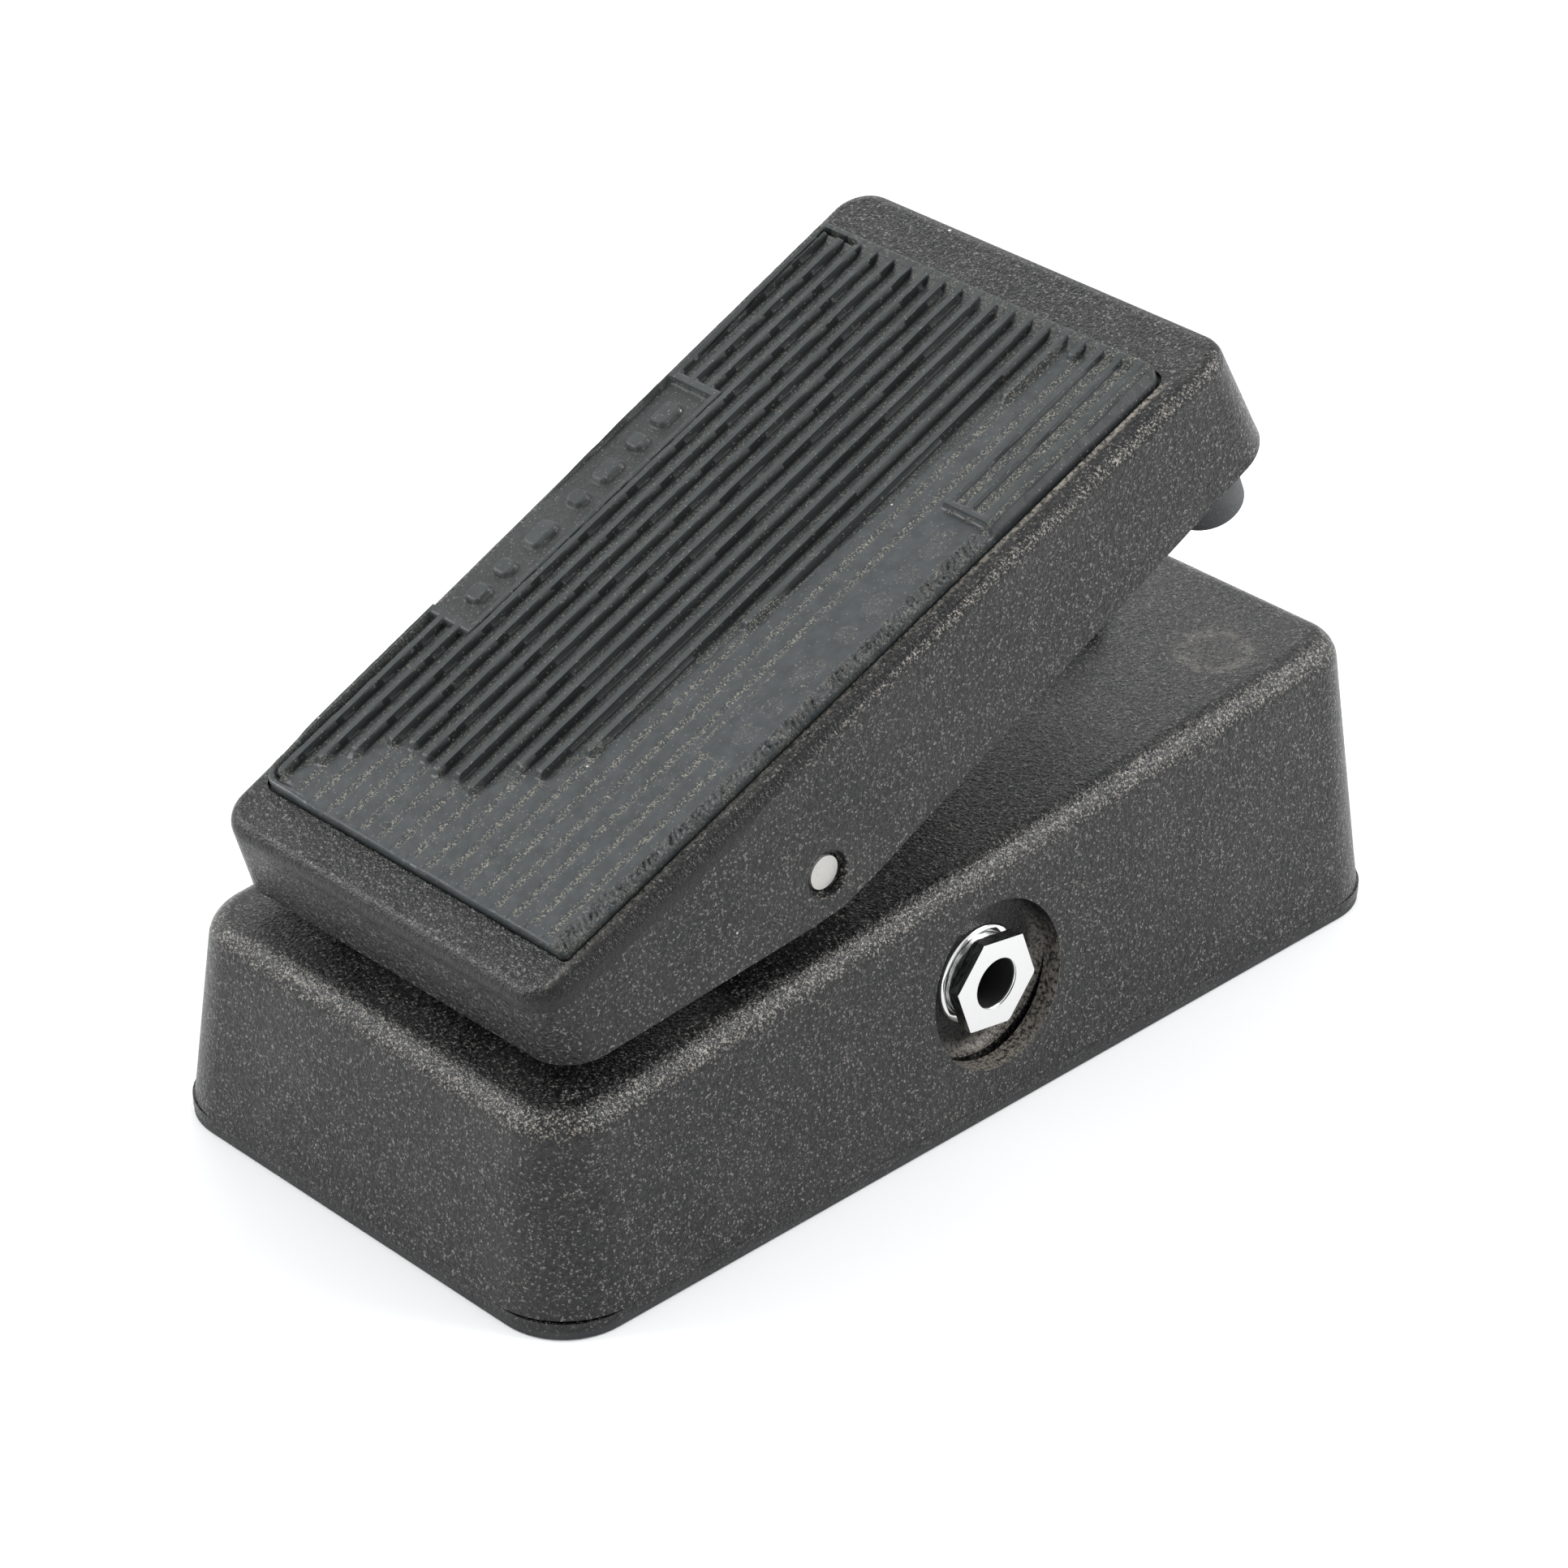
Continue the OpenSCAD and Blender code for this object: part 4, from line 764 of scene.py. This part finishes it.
# ---- Material helpers ----
class Look:
    """One procedural material; coordinates are the row frame in millimetres."""

    def __init__(self, name):
        self.material = bpy.data.materials.new(name)
        self.material.use_nodes = True
        self.tree = self.material.node_tree
        self.shader = self.tree.nodes["Principled BSDF"]
        place = self.make("ShaderNodeTexCoord").outputs["Object"]
        self.coord = self.vector("MULTIPLY", place, (1 / MM, 1 / MM, 1 / MM))

    def make(self, kind, **settings):
        node = self.tree.nodes.new(kind)
        for key, value in settings.items():
            setattr(node, key, value)
        return node

    def plug(self, socket, value):
        if isinstance(value, bpy.types.NodeSocket):
            self.tree.links.new(value, socket)
        elif value is not None:
            socket.default_value = value

    def vector(self, operation, a, b):
        node = self.make("ShaderNodeVectorMath", operation=operation)
        self.plug(node.inputs[0], a)
        self.plug(node.inputs[1], b)
        return node.outputs["Value" if operation == "DOT_PRODUCT" else "Vector"]

    def math(self, operation, a, b=None):
        node = self.make("ShaderNodeMath", operation=operation)
        self.plug(node.inputs[0], a)
        self.plug(node.inputs[1], b)
        return node.outputs[0]

    def times(self, first, *others):
        """Product of two or more values."""
        for value in others:
            first = self.math("MULTIPLY", first, value)
        return first

    def distance(self, a, b):
        """Length of the leg lengths a and b taken together."""
        return self.math("SQRT", self.math("ADD", self.times(a, a), self.times(b, b)))

    def noise(self, size, detail=2.0, rough=0.5, coord=None):
        """Noise with features about size millimetres across, from 0 to 1."""
        node = self.make("ShaderNodeTexNoise")
        self.plug(node.inputs["Vector"], coord or self.coord)
        node.inputs["Scale"].default_value = 1.0 / size
        node.inputs["Detail"].default_value = detail
        node.inputs["Roughness"].default_value = rough
        return node.outputs["Fac"]

    def cells(self, size, feature="F1"):
        """Cells about size millimetres across: the distance to a point or edge, and a colour."""
        node = self.make("ShaderNodeTexVoronoi", feature=feature)
        self.plug(node.inputs["Vector"], self.coord)
        node.inputs["Scale"].default_value = 1.0 / size
        return node

    def map(self, value, low, high, to_low=0.0, to_high=1.0, smooth=True):
        """The value's range from low to high, spread from to_low to to_high."""
        node = self.make("ShaderNodeMapRange", interpolation_type="SMOOTHSTEP" if smooth else "LINEAR")
        self.plug(node.inputs["Value"], value)
        limits = {"From Min": low, "From Max": high, "To Min": to_low, "To Max": to_high}
        for key, number in limits.items():
            self.plug(node.inputs[key], number)
        return node.outputs["Result"]

    def mix(self, amount, a, b):
        node = self.make("ShaderNodeMix", data_type="RGBA")
        self.plug(node.inputs["Factor"], amount)
        self.plug(node.inputs["A"], (*a, 1.0) if isinstance(a, tuple) else a)
        self.plug(node.inputs["B"], (*b, 1.0) if isinstance(b, tuple) else b)
        return node.outputs["Result"]

    def bump(self, height, distance, strength=1.0, below=None):
        """Bump from a height of 0 to 1, distance millimetres deep."""
        node = self.make("ShaderNodeBump")
        node.inputs["Distance"].default_value = distance * MM
        node.inputs["Strength"].default_value = strength
        self.plug(node.inputs["Height"], height)
        if below is not None:
            self.plug(node.inputs["Normal"], below)
        return node.outputs["Normal"]

    def attribute(self, name):
        return self.make("ShaderNodeAttribute", attribute_name=name).outputs["Fac"]

    def channel(self, color):
        """Red channel of a colour, used as a random value."""
        node = self.make("ShaderNodeSeparateColor")
        self.plug(node.inputs[0], color)
        return node.outputs[0]

    def split(self, vector):
        node = self.make("ShaderNodeSeparateXYZ")
        self.plug(node.inputs[0], vector)
        return node.outputs

    def speckles(self, size, small, large, share):
        """Sparse round specks: cell size, soft radii, and the share of cells without one."""
        cells = self.cells(size)
        return self.times(self.map(cells.outputs["Distance"], small, large, 1.0, 0.0),
                          self.math("GREATER_THAN", self.channel(cells.outputs["Color"]), share))

    def finish(self, color, rough, normal=None, metal=None, specular=None):
        for key, value in (("Base Color", color), ("Roughness", rough), ("Normal", normal),
                           ("Metallic", metal), ("Specular IOR Level", specular)):
            self.plug(self.shader.inputs[key], value)
        return self.material


DUST = (0.30, 0.275, 0.235)
# painted shade colour for inside the jack recesses
RECESS_SHADE = (0.006, 0.006, 0.0065)
# The paint's hollows in painted shade, its body and flecks, the painted glint of its rounded edges, and
# what shows where it is chipped
PAINT = ((0.001, 0.001, 0.0012), (0.0108, 0.0112, 0.0120), (0.155, 0.147, 0.135))
PAINT_GLINT, PAINT_CHIP = (0.30, 0.275, 0.24), (0.55, 0.53, 0.48)


def powder_coat(name, up=(0.0, 0.0, 1.0), extras=None, tone=1.0):
    """Black texture paint: fine leathery bumps with painted shade in their hollows, warm specks,
    painted glints on the rounded top edges and a few white chips. up is the way the casting's top faces."""
    k = Look(name)
    grain = k.noise(0.24, 1.5, 0.6)
    lumps = k.noise(0.55, 2.0, 0.6)
    broad = k.noise(14.0, 2.0)
    speck = k.channel(k.cells(0.22).outputs["Color"])
    hollow_shade, body, fleck = [tuple(c * tone for c in color) for color in PAINT]
    # painted shade in the hollows between the lumps; warm specks on the lumps' crowns, partly real
    # specks and partly painted sparkle
    color = k.mix(k.map(lumps, 0.40, 0.58), hollow_shade, body)
    color = k.mix(k.times(k.map(speck, 0.76, 1.0), k.map(lumps, 0.38, 0.56)), color, fleck)
    # rounded top edges: painted glints, brighter specks where the fillets catch the light, with some
    # rubbed paint too
    facing = k.vector("DOT_PRODUCT", k.make("ShaderNodeTexCoord").outputs["Normal"], up)
    edge_glint = k.times(k.map(facing, 0.22, 0.5), k.map(facing, 0.985, 0.86))
    glint = k.times(k.map(speck, 0.50, 0.85), k.map(grain, 0.42, 0.58))
    color = k.mix(k.times(k.times(edge_glint, glint), 0.75), color, PAINT_GLINT)
    color = k.mix(k.map(broad, 0.42, 0.75, 0.0, 0.05), color, fleck)
    rough = k.map(grain, 0.35, 0.65, 0.42, 0.24)
    normal = k.bump(k.noise(0.95, 1.5), 0.10, 0.8)
    normal = k.bump(lumps, 0.19, 1.0, normal)
    normal = k.bump(grain, 0.085, 1.0, normal)
    color = k.mix(k.speckles(11.0, 0.014, 0.026, 0.62), color, PAINT_CHIP)
    if extras:
        color = extras(k, color)
    return k.finish(color, rough, normal, specular=0.35)


def from_jack(k, y, z):
    """Distance from the jacks' axis."""
    return k.distance(k.math("SUBTRACT", y, JACK_Y), k.math("SUBTRACT", z, JACK_Z))


def base_extras(k, color):
    """The toe stops' scuff rings on the roof, dusty dirt in the jack recesses, and painted shade inside
    them.
    """
    x, y, z = k.split(k.coord)
    away = k.distance(k.math("SUBTRACT", k.math("ABSOLUTE", x), SCUFF_X), k.math("SUBTRACT", y, SCUFF_Y))
    off = k.math("ABSOLUTE", k.math("SUBTRACT", away, SCUFF_R))
    on_roof = k.map(z, 34.0, 36.0)
    ring = k.times(k.map(off, 0.3, 1.5, 1.0, 0.0), on_roof)
    patch = k.times(k.map(away, 2.0, 7.5, 0.10, 0.0), on_roof)
    broken = k.map(k.noise(0.9, 3.0, 0.7), 0.36, 0.62)
    color = k.mix(k.times(k.times(ring, broken), 0.20), color, DUST)
    color = k.mix(k.times(patch, broken), color, DUST)
    # painted shade darkens the recesses, and dusty dirt lies low down on their walls
    from_axis = from_jack(k, y, z)
    near = k.times(k.map(from_axis, RECESS_R - 2.6, RECESS_R - 0.4),
                   k.map(from_axis, RECESS_R + 0.02, RECESS_R + 0.06, 1.0, 0.0))
    lean = k.times(k.math("SUBTRACT", y, JACK_Y), 0.55)
    lower = k.map(k.math("SUBTRACT", lean, k.math("SUBTRACT", z, JACK_Z)), -1.0, 9.0)
    dirt = k.times(k.times(near, lower), k.map(k.noise(0.5, 3.0, 0.7), 0.36, 0.6))
    # painted shade over everything inside the recess radius
    inside = k.map(from_axis, RECESS_R, RECESS_R + 0.08, 1.0, 0.0)
    color = k.mix(k.times(inside, 0.75), color, RECESS_SHADE)
    return k.mix(k.times(dirt, 0.6), color, DUST)


def treadle_extras(k, color):
    """Dust caught along the right side of the mat, and painted shadow in the pocket round it."""
    x, row_y, row_z = k.split(k.coord)
    y = k.math("SUBTRACT", row_y, PIVOT_Y)
    z = k.math("SUBTRACT", row_z, PIVOT_Z)
    u = k.math("ADD", k.times(y, math.cos(TILT)), k.times(z, math.sin(TILT)))
    w = k.math("SUBTRACT", k.times(z, math.cos(TILT)), k.times(y, math.sin(TILT)))
    edge = k.map(u, MAT_HEEL_U, MAT_TOE_U, *MAT_X[1], smooth=False)
    away = k.math("SUBTRACT", x, edge)
    top = k.map(w, TREAD_TOP - 0.25, TREAD_TOP - 0.1)
    band = k.times(k.map(away, 0.35, 0.5), k.map(away, 0.7, 1.5, 1.0, 0.0))
    along = k.times(k.map(u, 20.0, 50.0, 0.25, 1.0), k.map(u, MAT_TOE_U - 2.0, MAT_TOE_U, 1.0, 0.0))
    broken = k.map(k.noise(0.6, 3.0, 0.7), 0.36, 0.60)
    amount = k.times(k.times(band, along), k.times(broken, top))
    color = k.mix(k.times(amount, 0.8), color, DUST)
    # painted shadow: the pocket's gap round the mat is painted near black
    pocket_shadow = k.times(k.map(w, TREAD_TOP - 0.08, TREAD_TOP - 0.2), k.map(w, 13.6, 14.0))
    inner = k.math("LESS_THAN", k.math("ABSOLUTE", x), 30.6)
    return k.mix(k.times(k.times(pocket_shadow, inner), 0.9), color, (0.001, 0.001, 0.001))


def rubber_mat():
    """Worn grey-green rubber: smooth bands, dusty stripes, painted shade in the grooves and on the rib
    walls.
    """
    k = Look("rubber_mat_worn")
    dust, wear, painted_shade = k.attribute("dust"), k.attribute("wear"), k.attribute("painted_shade")
    broad = k.noise(9.0, 3.0, 0.6)
    cloud = k.noise(2.2, 3.0, 0.6)
    fine = k.noise(0.25, 2.0, 0.6)
    grain = k.channel(k.cells(0.17).outputs["Color"])
    rib = k.mix(k.map(broad, 0.35, 0.7), (0.0135, 0.0178, 0.0176), (0.0235, 0.029, 0.0288))
    smooth = k.mix(k.map(cloud, 0.3, 0.7), (0.018, 0.0225, 0.0235), (0.032, 0.037, 0.039))
    color = k.mix(k.map(wear, 0.1, 0.9), rib, smooth)
    # painted shade from the mat's shade mask: rib walls, gutter, panel floor, gaps between ridges
    color = k.mix(k.times(painted_shade, 0.92), color, (0.0035, 0.0042, 0.0048))
    # dust is light and dark grains side by side
    light = k.times(k.times(dust, k.map(grain, 0.52, 0.95)), k.map(fine, 0.36, 0.55, 0.35, 0.9))
    color = k.mix(light, color, (0.21, 0.195, 0.16))
    color = k.mix(k.times(dust, k.map(grain, 0.40, 0.10, 0.0, 0.55)), color, (0.010, 0.0115, 0.0115))
    color = k.mix(k.map(grain, 0.975, 0.99, 0.0, 0.35), color, (0.26, 0.25, 0.21))
    color = k.mix(k.times(k.speckles(4.5, 0.022, 0.04, 0.8), 0.8), color, (0.55, 0.54, 0.48))
    rough = k.math("ADD", k.map(wear, 0.0, 1.0, 0.50, 0.42), k.times(dust, 0.3))
    normal = k.bump(k.noise(0.9, 3.0, 0.6), 0.025, 0.6)
    normal = k.bump(fine, 0.03, 0.6, normal)
    normal = k.bump(k.times(dust, grain), 0.05, 0.8, normal)
    return k.finish(color, rough, normal, specular=0.5)


def rubber(name, color):
    """Moulded rubber with a fine dull grain."""
    k = Look(name)
    fine = k.noise(0.35, 3.0, 0.6)
    broad = k.noise(5.0, 2.0)
    light = tuple(c * 1.7 for c in color)
    tone = k.mix(k.map(broad, 0.35, 0.7, 0.0, 0.6), color, light)
    tone = k.mix(k.map(fine, 0.58, 0.75, 0.0, 0.4), tone, DUST)
    return k.finish(tone, k.map(fine, 0.3, 0.7, 0.55, 0.75), k.bump(fine, 0.03, 0.6), specular=0.4)


def metal(name, color, rough, scratch, dirt):
    """Plated or plain metal with fine scratches, their depth in millimetres, and grime."""
    k = Look(name)
    stretched = k.vector("MULTIPLY", k.coord, (1.0, 6.0, 1.0))
    lines = k.noise(0.6, 3.0, 0.6, coord=stretched)
    grime = k.noise(1.4, 3.0, 0.7)
    dull = tuple(c * 0.45 for c in color)
    tone = k.mix(k.times(k.map(grime, 0.55, 0.75), dirt), color, dull)
    scratched = k.map(lines, 0.3, 0.7, rough * 0.75, rough * 1.35)
    return k.finish(tone, scratched, k.bump(lines, scratch, 0.5), metal=1.0)


def nut_look():
    """Bright nickel on the faces square to the jack; on the flanks a painted reflection of the dark
    recess, with lighter streaks as painted highlights.
    """
    k = Look("nickel_nut")
    normal_x = k.split(k.make("ShaderNodeTexCoord").outputs["Normal"])[0]
    front = k.map(k.math("ABSOLUTE", normal_x), 0.75, 0.95)
    # painted reflection: the flanks are dark as if mirroring the recess, and the streaks on them are
    # painted highlights
    streak = k.noise(0.9, 3.0, 0.6, coord=k.vector("MULTIPLY", k.coord, (3.0, 0.6, 0.6)))
    flank_reflection = k.mix(k.map(streak, 0.35, 0.62), (0.16, 0.165, 0.175), (0.62, 0.63, 0.62))
    color = k.mix(front, flank_reflection, (0.87, 0.87, 0.86))
    grime = k.map(k.noise(1.2, 3.0, 0.7), 0.58, 0.78, 0.0, 0.12)
    color = k.mix(grime, color, (0.4, 0.39, 0.36))
    return k.finish(color, k.map(front, 0.0, 1.0, 0.24, 0.12), k.bump(streak, 0.004, 0.5), metal=1.0)


def plastic(name, color, rough=0.42):
    """Moulded plastic with a faint grain and uneven tone."""
    k = Look(name)
    fine = k.noise(0.5, 3.0, 0.6)
    broad = k.noise(4.0, 2.0)
    light = tuple(c * 1.35 + 0.004 for c in color)
    tone = k.mix(k.map(broad, 0.35, 0.7), color, light)
    return k.finish(tone, k.map(fine, 0.3, 0.7, rough * 0.85, rough * 1.25), k.bump(fine, 0.02, 0.4))


def socket_look():
    """Jack socket: black moulding inside, plated neck outside."""
    k = Look("socket_plastic_and_neck")
    x, y, z = k.split(k.coord)
    from_axis = from_jack(k, y, z)
    far = k.math("ABSOLUTE", x)
    outer = k.math("MAXIMUM", k.math("GREATER_THAN", from_axis, 3.5), k.math("GREATER_THAN", far, 34.72))
    neck = k.times(k.math("GREATER_THAN", far, 28.66), outer)
    fine = k.noise(0.4, 3.0, 0.6)
    color = k.mix(neck, k.mix(fine, (0.010, 0.010, 0.011), (0.022, 0.022, 0.023)), (0.78, 0.78, 0.77))
    rough = k.math("ADD", k.times(neck, -0.28), k.map(fine, 0.3, 0.7, 0.36, 0.5))
    return k.finish(color, rough, k.bump(fine, 0.01, 0.4), metal=neck)


def board_look():
    """Green lacquered board with copper tracks showing through."""
    k = Look("board_lacquer")
    lanes = k.cells(4.0, "DISTANCE_TO_EDGE")
    track = k.map(lanes.outputs["Distance"], 0.05, 0.09, 1.0, 0.0)
    fine = k.noise(0.6, 2.0)
    color = k.mix(track, (0.010, 0.075, 0.030), (0.030, 0.16, 0.055))
    color = k.mix(k.map(fine, 0.4, 0.7, 0.0, 0.3), color, (0.012, 0.05, 0.02))
    return k.finish(color, k.map(fine, 0.3, 0.7, 0.25, 0.4), k.bump(track, 0.03, 0.7))


def floor_look():
    """Pale matt floor, a little uneven."""
    k = Look("floor_pale")
    tone = k.mix(k.noise(120.0), (0.86, 0.86, 0.86), (0.88, 0.88, 0.88))
    return k.finish(tone, k.map(k.noise(30.0), 0.3, 0.7, 0.82, 0.95), specular=0.15)


# ---- Lights ----
def area_light(name, place, target, size, watts):
    data = bpy.data.lights.new(name, "AREA")
    data.shape, data.size, data.size_y = "RECTANGLE", size[0], size[1]
    data.energy = watts
    light = bpy.data.objects.new(name, data)
    light.location = place
    light.rotation_euler = (Vector(target) - Vector(place)).to_track_quat("-Z", "Y").to_euler()
    bpy.context.scene.collection.objects.link(light)


def lights():
    """Pale surround, a large soft box behind on the right, a fill and a weak back light
    on the left. Places and sizes are in metres, powers in watts."""
    world = bpy.data.worlds.new("studio")
    bpy.context.scene.world = world
    world.use_nodes = True
    sky = world.node_tree.nodes["Background"]
    sky.inputs["Color"].default_value = (0.97, 0.985, 1.0, 1.0)
    sky.inputs["Strength"].default_value = 0.95
    area_light("key", (0.62, 0.72, 0.78), (0, 0, 0.03), (0.7, 0.55), 12.0)
    area_light("left_fill", (-0.8, -0.65, 0.75), (0, 0, 0.03), (0.6, 0.6), 11.5)
    area_light("back_left", (-0.62, 0.5, 0.6), (0, 0, 0.05), (0.5, 0.4), 1.6)
    bpy.context.scene.view_settings.view_transform = "Standard"
    bpy.context.scene.view_settings.look = "None"


# ---- Pieces and looks, put together ----
def paint(obj, material):
    obj.data.materials.clear()
    obj.data.materials.append(material)


def repaint(nodes, material):
    """Gives CAD nodes a finished material in place of their plain one."""
    for name in nodes:
        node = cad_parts[name]
        for entry in node.material_slots:
            entry.material = material


def place_piece(obj, body, material, node):
    """Puts a new piece on a body in place of one CAD node."""
    paint(obj, material)
    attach(obj, body)
    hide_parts(node)


nickel = metal("nickel_bright", (0.86, 0.86, 0.85), 0.10, 0.004, 0.12)
zinc = metal("zinc_dull", (0.60, 0.61, 0.63), 0.34, 0.010, 0.3)
steel = metal("steel_turned", (0.50, 0.49, 0.47), 0.42, 0.02, 0.45)

base_paint = powder_coat("paint_base", extras=base_extras)
place_piece(base_casting(), "base", base_paint, "base_housing")
tread_up = (0.0, -math.sin(TILT), math.cos(TILT))
tread_paint = powder_coat("paint_treadle", tread_up, treadle_extras, 0.92)
place_piece(treadle_casting(), "treadle", tread_paint, "treadle_shell")
place_piece(tread_mat(), "treadle", rubber_mat(), "tread_mat")
nut_metal = nut_look()
for side, jack in ((1, "input"), (-1, "output")):
    place_piece(hex_nut("nut_" + jack, side), "base", nut_metal, jack + "_jack_nut")
    place_piece(washer("washer_" + jack, side), "base", nickel, jack + "_jack_washer")

CAD_LOOKS = [
    (["bottom_plate"], powder_coat("paint_plate", tone=0.6)),
    (["sole_pad"], rubber("rubber_sole", (0.018, 0.019, 0.02))),
    (["toe_bumpers", "heel_bumpers", "switch_pad"], rubber("rubber_bumper", (0.034, 0.036, 0.038))),
    (["pivot_shaft", "rack_pin", "switch_plunger", "pot_shaft"], steel),
    (["plate_screws", "tension_screw", "board_screws", "bracket_screws", "guide_screws",
      "bumper_screws", "pin_clips", "power_jack_pin", "power_jack_nut", "footswitch_body",
      "footswitch_nuts", "pot_bracket", "pot_nut"], zinc),
    (["jack_lugs", "footswitch_lugs", "pot_lugs"],
     metal("lugs_tinned", (0.7, 0.69, 0.66), 0.3, 0.008, 0.25)),
    (["pot_body"], metal("pot_can", (0.55, 0.55, 0.54), 0.38, 0.012, 0.3)),
    (["input_jack", "output_jack"], socket_look()),
    (["power_jack", "transistors"], plastic("plastic_black", (0.012, 0.012, 0.013))),
    (["pivot_bushes", "rack_guide", "wire_header", "rack", "pinion"],
     plastic("nylon", (0.66, 0.64, 0.57), 0.5)),
    (["circuit_board"], board_look()),
    (["inductor"], plastic("inductor_red", (0.33, 0.035, 0.02), 0.35)),
    (["film_capacitors"], plastic("film_orange", (0.55, 0.16, 0.025), 0.3)),
    (["can_capacitors"], plastic("can_blue", (0.02, 0.03, 0.13), 0.3)),
    (["resistors"], plastic("resistor_tan", (0.50, 0.36, 0.20), 0.4)),
    (["harness_wires"], plastic("wire_red", (0.30, 0.02, 0.015), 0.4)),
]
for nodes, material in CAD_LOOKS:
    repaint(nodes, material)

paint(floor_stage(), floor_look())
lights()
